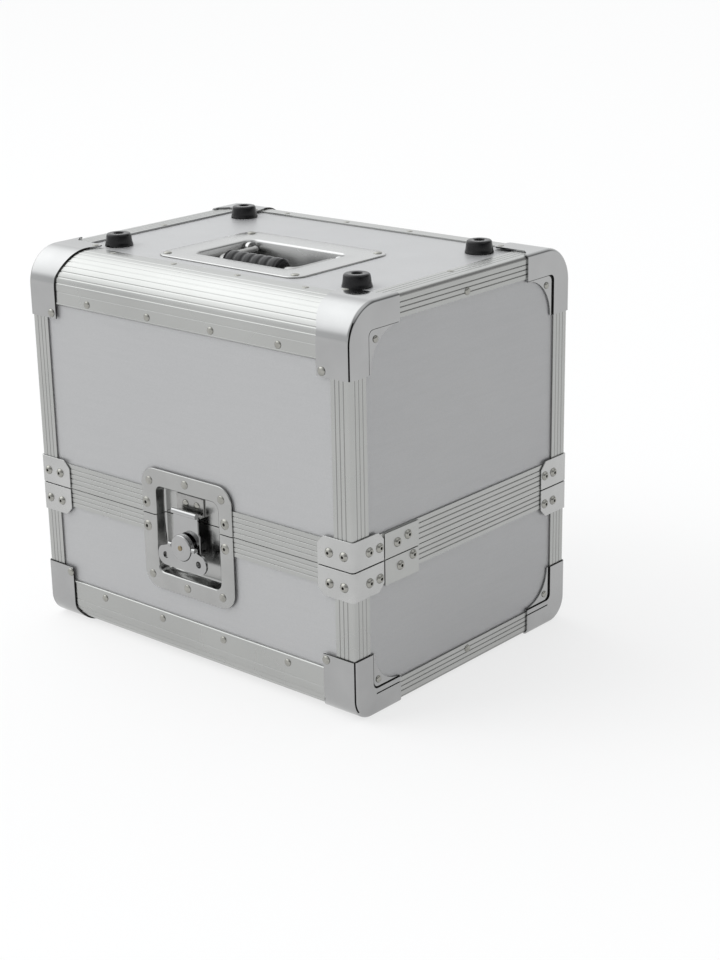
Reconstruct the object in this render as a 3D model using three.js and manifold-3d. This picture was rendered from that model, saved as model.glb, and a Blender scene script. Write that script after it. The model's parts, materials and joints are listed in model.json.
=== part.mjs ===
// Record carrying case: a low base and a deep hinged lid, panelled in laminate
// between ribbed aluminium profiles, with pressed metal corners, a recessed
// turn latch in front and a recessed handle between four rubber feet on top.
// Millimetres, +Z up. The origin is the middle of the footprint, on the
// surface that the case stands on. The front, with the latch, faces -Y.

import * as THREE from 'three';
import { mergeVertices } from 'three/addons/utils/BufferGeometryUtils.js';
import Module from 'manifold-3d';

const wasm = await Module();
wasm.setup();

// Overall sizes, over the pressed corners
const caseWidth = 386;
const caseDepth = 302;
const caseHeight = 358;
const splitHeight = 135.3;

// Sheet metal that lies over the profiles
const sheet = 1.2;
const seatGap = 0.3;
const proud = sheet + seatGap;

// Body of the case: the outer faces of the aluminium profiles
const bodyWidth = caseWidth - 2 * proud;
const bodyDepth = caseDepth - 2 * proud;
const bodyBottom = proud;
const bodyTop = caseHeight - proud;
const sideX = bodyWidth / 2;
const sideY = bodyDepth / 2;

// Panels and the slots that hold them
const panelThickness = 7;
const panelPlay = 0.15;
const flange = 1.5;
const slotFar = flange + panelThickness + 2 * panelPlay;
const innerFar = slotFar + flange;
const panelOuter = flange + panelPlay;
const slotStop = 10;
const cut = 2;

// Ribs rolled into the profiles
const grooveDepth = 0.5;
const grooveHalf = 0.55;

// Rounded edge profiles, along the front and back edges. The bottom one is tighter.
const topEdge = { radius: 32, frontLeg: 46.5, flatLeg: 40.5, grooves: 8 };
const bottomEdge = { radius: 20, frontLeg: 41.3, flatLeg: 30, grooves: 5 };

// Square edge profiles, along the left and right edges
const sideLegDown = 20.3;
const sideLegFlat = 22.5;
const sideInnerLeg = 18;
const sideCornerRadius = 3;
const sideGrooves = 3;

// Upright profiles in the four corners
const uprightFrontLeg = 20;
const uprightSideLeg = 20.7;
const uprightInnerLeg = 18;
const uprightRadius = 2;
const uprightGrooves = 3;
const uprightReach = 2;

// Closure profiles where the halves meet
const jointGap = 0.3;
const baseStrip = 17.8;
const lidStrip = 23.7;
const closureStop = 8;
const closureInner = 18;
const tongueStart = 4.2;
const tongueWidth = 2;
const tongueHeight = 3.5;
const tonguePlay = 0.6;
const tongueTilt = 1;
const baseStripGrooves = 3;
const lidStripGrooves = 4;

// Pressed corners: a band over the rounded edge, two arms on the side, a flat
// plate with a tab for its rivet, and a lower web between the arms
const capSideRound = 3.5;
const capBand = 33.5;
const capRearArm = 22.3;
const capTabReach = 46.5;
const capTabHalf = 5;
const capFlatRear = 50;
const capFlatCorner = 11;
const capFrontReach = 59.5;
const capFrontArm = 22.7;
const capRearReach = 61.8;
const lowFrontReach = 54.4;
const lowFrontArm = 22;
const lowRearReach = 57.8;
const lowSlit = 1.2;
const lowSlitStart = 25.8;
const lowSlitHeight = 17.7;
const webLandFront = 3.4;
const webLandRear = 0.9;
const capSeam = 0.8;
const capSeamStart = 30;

// Corner brackets at the split
const bracketFront = 37.5;
const bracketSide = 38;
const bracketHeight = 26;
const bracketChamfer = 7;
const bracketGap = 0.5;
const bracketRound = 3.5;

// Joint plates beside the front brackets
const plateStart = 39.2;
const plateEnd = 83.5;
const plateHeight = 23;

// Recessed latch: how far its rim and opening rise above the split and fall below it
const latchWidth = 111.5;
const latchRise = 43.7;
const latchFall = 69.8;
const latchRadius = 16;
const latchOpening = 78;
const openingRise = 27;
const openingFall = 53.3;
const latchOpeningRadius = 7;
const latchRecess = 10;
const latchShift = -5;
const cutoutPlay = 0.4;
const latchLow = splitHeight - latchFall;
const latchHigh = splitHeight + latchRise;
const latchOpeningLow = splitHeight - openingFall;
const latchOpeningHigh = splitHeight + openingRise;

// Latch parts
const spindleDrop = 22.6;
const spindleHeight = splitHeight - spindleDrop;
const hubRadius = 12;
const hubFront = 6;
const hubBack = 0.2;
const neckRadius = 5;
const camFront = 1.6;
const camBack = 4;
const camRadius = 7;
const camThrow = 3;
const shaftRadius = 4;
const shaftTail = 1.2;
const runGap = 0.25;
const wingFront = 4.3;
const wingBack = 1.8;
const wingLobeSpread = 20.6;
const wingLobeDrop = 11.3;
const wingLobeRadius = 9.5;
const wingHoleRadius = 3.2;
const wingYokeGap = 0.6;
const knuckleRadius = 3;
const crossPinRadius = 1.4;
const hookFront = 2;
const hookBack = 3.6;
const hookHalf = 15;
const hookFoot = 16.5;
const hookTail = 17;
const hookShoulder = 14;
const hookTop = 30.5;
const hookRoll = 2.6;
const hookRollDepth = 1.4;
const camSlotPlay = 0.9;
const railWidth = 3;
const railPlay = 0.35;
const railLow = 14;
const railHigh = 12;
const strikeHalf = 16.7;
const strikeLow = 5.5;
const strikeHigh = 22;
const strikeLip = 4;
const strikeSheet = 1.2;

// Recessed handle
const handleWidth = 172;
const handleDepth = 126;
const handleMargin = 15;
const handleY = -sideY + topEdge.flatLeg + handleMargin + handleDepth / 2;
const handleRadius = 14;
const wellWidth = 118;
const wellDepth = 75;
const wellShift = -2.5;
const wellY = handleY + wellShift;
const wellRadius = 9;
const wellRecess = 24;
const bailFromBack = 6;
const bailY = wellY + wellDepth / 2 - bailFromBack;
const bailDrop = 8;
const bailRod = 4;
const bailHalf = 46;
const bailArm = 50;
const bailCorner = 9;
const bailBend = 6;
const bailPinReach = 6;
const earWidth = 4;
const earHalf = 6.5;
const earHeight = 6;
const gripRadius = 10.5;
const gripHalf = 33;
const gripRound = 3;
const gripPlay = 0.3;
const gripRings = 6;
const gripRingDepth = 0.8;

// Rubber feet
const footInset = 48;
const footFromFront = 67;
const footBase = 13;
const footTop = 10.5;
const footHeight = 11.2;
const footRound = 1.5;
const footRecess = 4.5;
const footRecessDepth = 4;

// Continuous hinge at the back
const hingeMargin = 14;
const hingeHalf = sideX - bracketFront - hingeMargin;
const hingeLeaf = 17;
const hingeRadius = 2.85;
const hingeBore = 1.4;
const hingePin = 1.2;
const hingeKnuckles = 10;
const hingeKnuckleGap = 0.4;
const hingeRelief = 3.4;

// Facets
const arcSteps = 6;
const edgeSteps = 3;
const bevelSteps = 2;
const roundSides = 16;
const smallSides = 10;
const bailSteps = 42;

// Finishes
const satin = { color: 0xb9bbbf, roughness: 0.42, metalness: 0.75 };
const profile = { color: 0xd3d5d8, roughness: 0.3, metalness: 0.9 };
const chrome = { color: 0xd9dadc, roughness: 0.12, metalness: 1 };
const steel = { color: 0xaeb0b3, roughness: 0.25, metalness: 1 };
const rubber = { color: 0x151515, roughness: 0.7, metalness: 0 };

const caseGroup = new THREE.Group();

// Keeps positions only, with shared corners merged.
function welded(geometry) {
  const plain = geometry.clone();
  plain.deleteAttribute('normal');
  plain.deleteAttribute('uv');
  return mergeVertices(plain);
}

function toSolid(geometry) {
  const merged = welded(geometry);
  return new wasm.Manifold(new wasm.Mesh({
    numProp: 3,
    vertProperties: new Float32Array(merged.attributes.position.array),
    triVerts: new Uint32Array(merged.index.array),
  }));
}

function toGeometry(solid) {
  const mesh = solid.getMesh();
  const geometry = new THREE.BufferGeometry();
  geometry.setAttribute('position', new THREE.BufferAttribute(mesh.vertProperties, mesh.numProp));
  geometry.setIndex(new THREE.BufferAttribute(mesh.triVerts, 1));
  return geometry;
}

// Mirrors a geometry by the signs of its three axes, with the faces kept outward.
function mirrored(geometry, signX, signY, signZ) {
  const result = welded(geometry);
  result.applyMatrix4(new THREE.Matrix4().makeScale(signX, signY, signZ));
  if (signX * signY * signZ < 0) {
    const index = result.index.array;
    for (let i = 0; i < index.length; i += 3) {
      const first = index[i];
      index[i] = index[i + 1];
      index[i + 1] = first;
    }
  }
  return result;
}

function addPiece(name, geometry, finish, x, y, z) {
  const mesh = new THREE.Mesh(geometry, new THREE.MeshStandardMaterial(finish));
  mesh.name = name;
  mesh.position.set(x, y, z);
  caseGroup.add(mesh);
}

function shapeOf(points) {
  return new THREE.Shape(points.map(([a, b]) => new THREE.Vector2(a, b)));
}

// A shape drawn in the plane across an axis, carried along that axis:
// (y, z) along x, (x, z) along y and (x, y) along z.
function prism(shape, axis, from, to, steps = arcSteps) {
  const geometry = new THREE.ExtrudeGeometry(shape, {
    depth: to - from, bevelEnabled: false, curveSegments: steps,
  });
  const right = new THREE.Vector3(1, 0, 0);
  const back = new THREE.Vector3(0, 1, 0);
  const up = new THREE.Vector3(0, 0, 1);
  const turn = new THREE.Matrix4();
  if (axis === 'x') {
    turn.makeBasis(back, up, right).setPosition(from, 0, 0);
  } else if (axis === 'y') {
    turn.makeBasis(right, up, back.clone().negate()).setPosition(0, to, 0);
  } else {
    turn.setPosition(0, 0, from);
  }
  geometry.applyMatrix4(turn);
  return geometry;
}

function slab(shape, axis, from, to, steps = arcSteps) {
  return toSolid(prism(shape, axis, from, to, steps));
}

function rectangle(lowA, highA, lowB, highB) {
  return shapeOf([[lowA, lowB], [highA, lowB], [highA, highB], [lowA, highB]]);
}

function roundedRectangle(lowA, highA, lowB, highB, radius) {
  const shape = new THREE.Shape();
  const quarter = Math.PI / 2;
  shape.moveTo(lowA + radius, lowB);
  shape.lineTo(highA - radius, lowB);
  shape.absarc(highA - radius, lowB + radius, radius, -quarter, 0, false);
  shape.lineTo(highA, highB - radius);
  shape.absarc(highA - radius, highB - radius, radius, 0, quarter, false);
  shape.lineTo(lowA + radius, highB);
  shape.absarc(lowA + radius, highB - radius, radius, quarter, 2 * quarter, false);
  shape.lineTo(lowA, lowB + radius);
  shape.absarc(lowA + radius, lowB + radius, radius, 2 * quarter, 3 * quarter, false);
  return shape;
}

// Points of regular sides on a circle, so that a round pin and its hole match.
function disc(centreA, centreB, radius, sides) {
  const points = [];
  for (let i = 0; i < sides; i += 1) {
    const angle = (2 * Math.PI * i) / sides;
    points.push([centreA + radius * Math.cos(angle), centreB + radius * Math.sin(angle)]);
  }
  return shapeOf(points);
}

function block(lowX, highX, lowY, highY, lowZ, highZ) {
  return slab(rectangle(lowX, highX, lowY, highY), 'z', lowZ, highZ);
}

// Grooves along a straight outer face: from start to end on one coordinate,
// at zero on the other. pick turns (along, depth) into a point.
function groovedFace(start, end, count, pick) {
  const points = [];
  const direction = Math.sign(end - start);
  for (let i = 1; i <= count; i += 1) {
    const middle = start + ((end - start) * i) / (count + 1);
    points.push(pick(middle - direction * grooveHalf, 0));
    points.push(pick(middle, grooveDepth));
    points.push(pick(middle + direction * grooveHalf, 0));
  }
  return points;
}

function arcPoints(centreA, centreB, radius, fromAngle, toAngle, steps) {
  const points = [];
  for (let i = 0; i <= steps; i += 1) {
    const angle = fromAngle + ((toAngle - fromAngle) * i) / steps;
    points.push([centreA + radius * Math.cos(angle), centreB + radius * Math.sin(angle)]);
  }
  return points;
}

// Section of a square profile. The first coordinate runs in from one outer
// face and the second from the other, and each panel sits in its own slot.
function squareSection(legA, legB, innerLeg, radius, grooves) {
  return shapeOf([
    [legA, 0], [legA, flange], [slotStop, flange], [slotStop, slotFar],
    [innerLeg, slotFar], [innerLeg, innerFar], [innerFar, innerFar],
    [innerFar, innerLeg], [slotFar, innerLeg], [slotFar, slotStop],
    [flange, slotStop], [flange, legB], [0, legB],
    ...groovedFace(legB, radius, grooves, (along, depth) => [depth, along]),
    ...arcPoints(radius, radius, radius, Math.PI, 1.5 * Math.PI, edgeSteps),
    ...groovedFace(radius, legA, grooves, (along, depth) => [along, depth]),
  ]);
}

// Section of a rounded edge profile, hollow between its two slots.
function roundedSection(edge) {
  const { radius: r, frontLeg, flatLeg, grooves } = edge;
  const outer = [[0, frontLeg], [0, r]];
  const half = grooveHalf / r;
  for (let i = 1; i <= grooves; i += 1) {
    const middle = Math.PI + (Math.PI / 2) * (i / (grooves + 1));
    for (const [turn, radius] of [[-half, r], [0, r - grooveDepth], [half, r]]) {
      outer.push([r + radius * Math.cos(middle + turn), r + radius * Math.sin(middle + turn)]);
    }
  }
  const shape = shapeOf([
    ...outer, [r, 0], [flatLeg, 0], [flatLeg, flange], [r, flange], [r, slotFar],
    [flatLeg, slotFar], [flatLeg, innerFar],
    ...arcPoints(r, r, r - innerFar, 1.5 * Math.PI, Math.PI, arcSteps),
    [innerFar, frontLeg], [slotFar, frontLeg], [slotFar, r], [flange, r], [flange, frontLeg],
  ]);
  const web = flange / (r - slotFar);
  shape.holes.push(new THREE.Path([
    ...arcPoints(r, r, r - flange, Math.PI + web, 1.5 * Math.PI - web, arcSteps),
    ...arcPoints(r, r, r - slotFar, 1.5 * Math.PI - web, Math.PI + web, arcSteps),
  ].map(([a, b]) => new THREE.Vector2(a, b))));
  return shape;
}

// A section carried round the case with mitred corners. Each point is
// (in from the outer face, height).
function mitredRing(points) {
  const corners = [[1, -1], [1, 1], [-1, 1], [-1, -1]];
  const positions = [];
  for (const [inset, height] of points) {
    for (const [signX, signY] of corners) {
      positions.push(signX * (sideX - inset), signY * (sideY - inset), height);
    }
  }
  const index = [];
  for (let i = 0; i < points.length; i += 1) {
    const next = (i + 1) % points.length;
    for (let k = 0; k < corners.length; k += 1) {
      const turn = (k + 1) % corners.length;
      const a = i * corners.length + k;
      const b = i * corners.length + turn;
      const c = next * corners.length + turn;
      const d = next * corners.length + k;
      index.push(a, b, c, a, c, d);
    }
  }
  const geometry = new THREE.BufferGeometry();
  geometry.setAttribute('position', new THREE.BufferAttribute(new Float32Array(positions), 3));
  geometry.setIndex(index);
  return geometry;
}

// The opening in the front panels and closure profiles behind the latch.
function latchCutout() {
  const half = latchOpening / 2 + sheet + cutoutPlay;
  return block(
    -half, half, -sideY - cut, -sideY + latchRecess + sheet + cut,
    latchOpeningLow - sheet - cutoutPlay, latchOpeningHigh + sheet + cutoutPlay,
  );
}

function frontPanel(low, high) {
  const half = sideX - slotStop - panelPlay;
  const near = -sideY + panelOuter;
  const plain = block(-half, half, near, near + panelThickness, low, high);
  return toGeometry(plain.subtract(latchCutout()));
}

function panelBetween(lowX, highX, lowY, highY, lowZ, highZ) {
  return prism(rectangle(lowX, highX, lowY, highY), 'z', lowZ, highZ);
}

// The four walls of one half, from its edge profiles to its closure profile.
function addWalls(half, low, high, lowSide, highSide) {
  const across = sideX - slotStop - panelPlay;
  const along = sideY - slotStop - panelPlay;
  const outerX = sideX - panelOuter;
  const outerY = sideY - panelOuter;
  addPiece(`${half}_front_panel`, frontPanel(low, high), satin, 0, 0, 0);
  addPiece(
    `${half}_back_panel`,
    panelBetween(-across, across, outerY - panelThickness, outerY, low, high),
    satin, 0, 0, 0,
  );
  addPiece(
    `${half}_left_panel`,
    panelBetween(-outerX, -outerX + panelThickness, -along, along, lowSide, highSide),
    satin, 0, 0, 0,
  );
  addPiece(
    `${half}_right_panel`,
    panelBetween(outerX - panelThickness, outerX, -along, along, lowSide, highSide),
    satin, 0, 0, 0,
  );
}

function addBasePanels() {
  const seat = slotStop + panelPlay;
  const top = splitHeight - closureStop - panelPlay;
  addWalls('base', bodyBottom + bottomEdge.radius + panelPlay, top, bodyBottom + seat, top);
  const across = sideX - seat;
  const along = sideY - bottomEdge.radius - panelPlay;
  addPiece(
    'base_bottom_panel',
    panelBetween(
      -across, across, -along, along,
      bodyBottom + panelOuter, bodyBottom + panelOuter + panelThickness,
    ),
    satin, 0, 0, 0,
  );
}

function addLidPanels() {
  const seat = slotStop + panelPlay;
  const low = splitHeight + closureStop + panelPlay;
  addWalls('lid', low, bodyTop - topEdge.radius - panelPlay, low, bodyTop - seat);
  const across = sideX - seat;
  const along = sideY - topEdge.radius - panelPlay;
  const plain = block(
    -across, across, -along, along,
    bodyTop - panelOuter - panelThickness, bodyTop - panelOuter,
  );
  const halfWell = wellWidth / 2 + sheet + cutoutPlay;
  const halfWellDepth = wellDepth / 2 + sheet + cutoutPlay;
  const well = block(
    -halfWell, halfWell, wellY - halfWellDepth, wellY + halfWellDepth,
    bodyTop - wellRecess - sheet - cut, bodyTop + cut,
  );
  addPiece('lid_top_panel', toGeometry(plain.subtract(well)), satin, 0, 0, 0);
}

// Edge profiles of one half. signZ is 1 for the top edges and -1 for the bottom.
function addEdgeProfiles(half, signZ, level, edge) {
  const halfLength = sideX - sideLegFlat - seatGap;
  const rounded = prism(roundedSection(edge), 'x', -halfLength, halfLength);
  addPiece(
    `${half}_front_edge_profile`, mirrored(rounded, 1, 1, -signZ), profile, 0, -sideY, level,
  );
  addPiece(
    `${half}_back_edge_profile`, mirrored(rounded, 1, -1, -signZ), profile, 0, sideY, level,
  );
  const halfRun = sideY - edge.flatLeg - seatGap;
  const square = prism(
    squareSection(sideLegFlat, sideLegDown, sideInnerLeg, sideCornerRadius, sideGrooves),
    'y', -halfRun, halfRun,
  );
  addPiece(`${half}_left_edge_profile`, mirrored(square, 1, 1, -signZ), profile, -sideX, 0, level);
  addPiece(`${half}_right_edge_profile`, mirrored(square, -1, 1, -signZ), profile, sideX, 0, level);
}

const cornerNames = [
  ['front_left', -1, -1], ['front_right', 1, -1], ['back_left', -1, 1], ['back_right', 1, 1],
];

// Upright corner profiles of one half, between two heights.
function addUprights(half, low, high) {
  const section = squareSection(
    uprightFrontLeg, uprightSideLeg, uprightInnerLeg, uprightRadius, uprightGrooves,
  );
  const upright = prism(section, 'z', low, high);
  for (const [name, signX, signY] of cornerNames) {
    const geometry = mirrored(upright, -signX, -signY, 1);
    addPiece(`${half}_${name}_upright`, geometry, profile, signX * sideX, signY * sideY, 0);
  }
}

// A raised plate that is part of the closure profile, beside a front bracket.
function jointPlates(low, high) {
  const plates = [];
  for (const signX of [-1, 1]) {
    const inner = signX * (sideX - grooveDepth - seatGap);
    const outer = signX * (sideX + proud);
    plates.push(block(
      Math.min(inner, outer), Math.max(inner, outer),
      -sideY + plateStart, -sideY + plateEnd, low, high,
    ));
  }
  return plates;
}

function addClosureProfiles() {
  const baseSection = [
    [0, jointGap], [tongueStart, jointGap], [tongueStart, -tongueHeight],
    [tongueStart + tongueWidth, -tongueHeight], [tongueStart + tongueWidth, jointGap],
    [innerFar, jointGap], [innerFar, closureInner], [slotFar, closureInner],
    [slotFar, closureStop], [flange, closureStop], [flange, baseStrip], [0, baseStrip],
    ...groovedFace(baseStrip, jointGap, baseStripGrooves, (along, depth) => [depth, along]),
  ];
  const grooveStart = tongueStart - tonguePlay;
  const grooveEnd = tongueStart + tongueWidth + tongueTilt;
  const grooveTop = tongueHeight + tonguePlay;
  const lidSection = [
    [0, jointGap], [grooveStart, jointGap], [grooveStart, grooveTop],
    [grooveEnd, grooveTop], [grooveEnd, jointGap], [innerFar, jointGap],
    [innerFar, closureInner], [slotFar, closureInner], [slotFar, closureStop],
    [flange, closureStop], [flange, lidStrip], [0, lidStrip],
    ...groovedFace(lidStrip, jointGap, lidStripGrooves, (along, depth) => [depth, along]),
  ];
  const base = baseSection.map(([inset, along]) => [inset, splitHeight - along]);
  const lid = lidSection.map(([inset, along]) => [inset, splitHeight + along]).reverse();
  const cutter = latchCutout();
  const rounded = slab(
    roundedRectangle(-sideX, sideX, -sideY, sideY, uprightRadius), 'z', 0, caseHeight, edgeSteps,
  );
  let baseRing = toSolid(mitredRing(base)).intersect(rounded).subtract(cutter);
  for (const plate of jointPlates(splitHeight - plateHeight, splitHeight - bracketGap)) {
    baseRing = baseRing.add(plate);
  }
  let lidRing = toSolid(mitredRing(lid)).intersect(rounded).subtract(cutter);
  for (const plate of jointPlates(splitHeight + bracketGap, splitHeight + plateHeight)) {
    lidRing = lidRing.add(plate);
  }
  addPiece('base_closure_profile', toGeometry(baseRing), profile, 0, 0, 0);
  addPiece('lid_closure_profile', toGeometry(lidRing), profile, 0, 0, 0);
}

// A rounded block that fills one corner of the case. Its outer faces lie
// beyond the body faces by reach, and its end is rounded towards the side.
function cornerBlock(edgeRadius, reach, sideRound, length) {
  const radius = edgeRadius + reach;
  const shape = new THREE.Shape();
  const low = -reach + sideRound;
  const far = length + cut;
  shape.moveTo(far, far);
  shape.lineTo(low, far);
  shape.lineTo(low, edgeRadius);
  shape.absarc(edgeRadius, edgeRadius, radius - sideRound, Math.PI, 1.5 * Math.PI, false);
  shape.lineTo(far, low);
  const geometry = new THREE.ExtrudeGeometry(shape, {
    depth: length, bevelEnabled: true, bevelThickness: sideRound, bevelSize: sideRound,
    bevelSegments: bevelSteps, curveSegments: arcSteps,
  });
  const turn = new THREE.Matrix4().makeBasis(
    new THREE.Vector3(0, 1, 0), new THREE.Vector3(0, 0, 1), new THREE.Vector3(1, 0, 0),
  );
  turn.setPosition(-reach + sideRound, 0, 0);
  geometry.applyMatrix4(turn);
  return toSolid(geometry);
}

// The web between two arms, with a hollow quarter round free edge.
function webShape(startA, startB, landA, landB, endA, endB) {
  const shape = new THREE.Shape();
  shape.moveTo(startA, startB);
  shape.lineTo(endA, startB);
  shape.lineTo(endA, landB);
  shape.absellipse(endA, endB, endA - landA, endB - landB, 1.5 * Math.PI, Math.PI, true);
  shape.lineTo(startA, endB);
  return shape;
}

// The flat plate of a corner, seen square on: from the band's width it grows
// to a tab for the rivet, and its rear edge runs out along the side arm.
function flatOutline(skin, edgeRadius, rearReach) {
  const shape = new THREE.Shape();
  const tabStart = capFlatRear - 3 * capTabHalf;
  const near = capTabReach - capTabHalf;
  shape.moveTo(-skin, -skin);
  shape.lineTo(capBand, -skin);
  shape.lineTo(capBand, 0);
  shape.quadraticCurveTo(near, edgeRadius / 4, near + capTabHalf / 2, tabStart);
  shape.lineTo(capTabReach, capFlatRear - 2 * capTabHalf);
  shape.absarc(near, capFlatRear - capTabHalf, capTabHalf, 0, Math.PI / 2, false);
  shape.lineTo(capFlatCorner, capFlatRear);
  shape.lineTo(0, rearReach);
  shape.lineTo(-skin, rearReach);
  return shape;
}

// A pressed corner, in coordinates that run in from the side, the front and
// the top (or bottom) face of the body.
function pressedCorner(size) {
  const { edgeRadius, frontReach, rearReach, frontArm } = size;
  const length = Math.max(frontReach, rearReach) + cut;
  const shell = cornerBlock(edgeRadius, proud, capSideRound, length)
    .subtract(cornerBlock(edgeRadius, seatGap, capSideRound - sheet, length));
  const skin = capSideRound;
  const frontBand = slab(shapeOf([
    [-skin, edgeRadius], [skin, edgeRadius], [skin, frontReach], [-skin, frontReach],
  ]), 'x', -skin, capBand);
  const sidePlate = slab(shapeOf([
    [-skin, -skin], [rearReach, -skin], [rearReach, capRearArm], [frontArm, capRearArm],
    [frontArm, frontReach], [-skin, frontReach],
  ]), 'x', -skin, skin);
  const flatPlate = slab(flatOutline(skin, edgeRadius, rearReach), 'z', -skin, edgeRadius)
    .subtract(block(-2 * skin, skin, frontArm, length, capRearArm, length));
  const web = slab(
    webShape(
      uprightSideLeg + seatGap, sideLegDown + seatGap,
      frontArm + webLandFront, capRearArm + webLandRear, rearReach, frontReach,
    ),
    'x', -seatGap - sheet / 2, panelOuter - seatGap,
  );
  const seam = block(-cut, cut, -cut, capSeam - cut, capSeamStart, frontReach + cut);
  return shell.intersect(frontBand.add(sidePlate).add(flatPlate)).add(web).subtract(seam);
}

function addCorners() {
  const top = toGeometry(pressedCorner({
    edgeRadius: topEdge.radius, frontReach: capFrontReach, rearReach: capRearReach,
    frontArm: capFrontArm,
  }));
  const slit = block(
    -cut, cut, lowSlitStart, lowRearReach + cut,
    lowSlitHeight - lowSlit / 2, lowSlitHeight + lowSlit / 2,
  );
  const low = toGeometry(pressedCorner({
    edgeRadius: bottomEdge.radius, frontReach: lowFrontReach, rearReach: lowRearReach,
    frontArm: lowFrontArm,
  }).subtract(slit));
  for (const [name, signX, signY] of cornerNames) {
    const x = signX * sideX;
    const y = signY * sideY;
    addPiece(`lid_${name}_corner`, mirrored(top, -signX, -signY, -1), chrome, x, y, bodyTop);
    addPiece(`base_${name}_corner`, mirrored(low, -signX, -signY, 1), chrome, x, y, bodyBottom);
  }
}

// A bracket that wraps an upright edge beside the split. Heights run away
// from the split.
function splitBracket() {
  const far = bracketHeight + bracketGap;
  const span = 2 * Math.max(bracketFront, bracketSide);
  const outer = roundedRectangle(-proud, span, -proud, span, bracketRound);
  const inner = roundedRectangle(
    -seatGap, span + cut, -seatGap, span + cut, bracketRound - sheet,
  );
  const shell = slab(outer, 'z', bracketGap, far, edgeSteps)
    .subtract(slab(inner, 'z', 0, far + cut, edgeSteps));
  const leg = (reach) => shapeOf([
    [-cut, 0], [reach, 0], [reach, far - bracketChamfer], [reach - bracketChamfer, far],
    [-cut, far],
  ]);
  const frontLeg = slab(leg(bracketFront), 'y', -cut, bracketRound);
  const sideLeg = slab(leg(bracketSide), 'x', -cut, bracketRound);
  return toGeometry(shell.intersect(frontLeg.add(sideLeg)));
}

function addBrackets() {
  const bracket = splitBracket();
  for (const [name, signX, signY] of cornerNames) {
    const x = signX * sideX;
    const y = signY * sideY;
    addPiece(`lid_${name}_bracket`, mirrored(bracket, -signX, -signY, 1), chrome, x, y, splitHeight);
    addPiece(`base_${name}_bracket`, mirrored(bracket, -signX, -signY, -1), chrome, x, y, splitHeight);
  }
}

// A pressed tray with a flat rim: place puts a shape between two depths below
// the face that the rim lies on.
function tray(rim, hole, holeOuter, recess, rimBack, place) {
  return place(rim, -rimBack - sheet, -rimBack)
    .add(place(holeOuter, -rimBack - sheet, recess + sheet))
    .subtract(place(hole, -rimBack - sheet - cut, recess));
}

function atFront(shape, from, to) {
  return slab(shape, 'y', -sideY + from, -sideY + to);
}

function latchTray() {
  const half = latchOpening / 2;
  const rim = roundedRectangle(
    -latchWidth / 2, latchWidth / 2, latchLow, latchHigh, latchRadius,
  );
  const hole = roundedRectangle(
    -half, half, latchOpeningLow, latchOpeningHigh, latchOpeningRadius,
  );
  const holeOuter = roundedRectangle(
    -half - sheet, half + sheet, latchOpeningLow - sheet, latchOpeningHigh + sheet,
    latchOpeningRadius + sheet,
  );
  return tray(rim, hole, holeOuter, latchRecess, seatGap, atFront);
}

// Guides beside the hook, on the floor of the base tray.
function hookRails() {
  const rails = [];
  for (const side of [-1, 1]) {
    const near = latchShift + side * (hookFoot + railPlay);
    const far = latchShift + side * (hookFoot + railPlay + railWidth);
    rails.push(atFront(
      rectangle(
        Math.min(near, far), Math.max(near, far),
        spindleHeight - railLow, spindleHeight + railHigh,
      ),
      hookFront, latchRecess + sheet / 2,
    ));
  }
  return rails;
}

function addLatchTrays() {
  const whole = latchTray();
  const side = latchWidth / 2 + cut;
  const near = -sideY - proud - cut;
  const far = -sideY + latchRecess + sheet + cut;
  let base = whole.intersect(block(-side, side, near, far, 0, splitHeight - jointGap));
  for (const rail of hookRails()) {
    base = base.add(rail);
  }
  base = base.subtract(atFront(
    disc(latchShift, spindleHeight, shaftRadius + runGap, roundSides),
    latchRecess - cut, latchRecess + sheet + cut,
  ));
  const lid = whole.intersect(block(-side, side, near, far, splitHeight + jointGap, caseHeight));
  addPiece('latch_base_tray', toGeometry(base), chrome, 0, 0, 0);
  addPiece('latch_lid_tray', toGeometry(lid), chrome, 0, 0, 0);
}

// The strike lies on the lid tray's floor and its lower edge is bent outwards.
function addStrike() {
  const back = latchRecess - seatGap;
  const low = splitHeight + strikeLow;
  const plate = atFront(
    rectangle(latchShift - strikeHalf, latchShift + strikeHalf, low, splitHeight + strikeHigh),
    back - strikeSheet, back,
  );
  const lip = atFront(
    rectangle(latchShift - strikeHalf, latchShift + strikeHalf, low, low + strikeSheet),
    strikeLip + seatGap, back,
  );
  addPiece('latch_strike', toGeometry(plate.add(lip)), steel, 0, 0, 0);
}

// The hook plate slides up and down between its rails, driven by the cam.
function addHook() {
  const z = spindleHeight;
  const plate = atFront(shapeOf([
    [latchShift - hookFoot, z - hookTail], [latchShift + hookFoot, z - hookTail],
    [latchShift + hookFoot, z + hookShoulder - cut], [latchShift + hookHalf, z + hookShoulder],
    [latchShift + hookHalf, z + hookTop], [latchShift - hookHalf, z + hookTop],
    [latchShift - hookHalf, z + hookShoulder], [latchShift - hookFoot, z + hookShoulder - cut],
  ]), hookFront, hookBack);
  const roll = slab(
    disc(-sideY + hookRollDepth, z + hookTop, hookRoll, smallSides),
    'x', latchShift - hookHalf, latchShift + hookHalf,
  );
  const slotWidth = camRadius + camThrow + runGap;
  const slotHeight = camRadius + camSlotPlay;
  const slotMiddle = z - camThrow;
  const slot = atFront(
    roundedRectangle(
      latchShift - slotWidth, latchShift + slotWidth,
      slotMiddle - slotHeight, slotMiddle + slotHeight, camRadius,
    ),
    hookFront - cut, hookBack + cut,
  );
  addPiece('latch_hook', toGeometry(plate.add(roll).subtract(slot)), chrome, 0, 0, 0);
}

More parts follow.
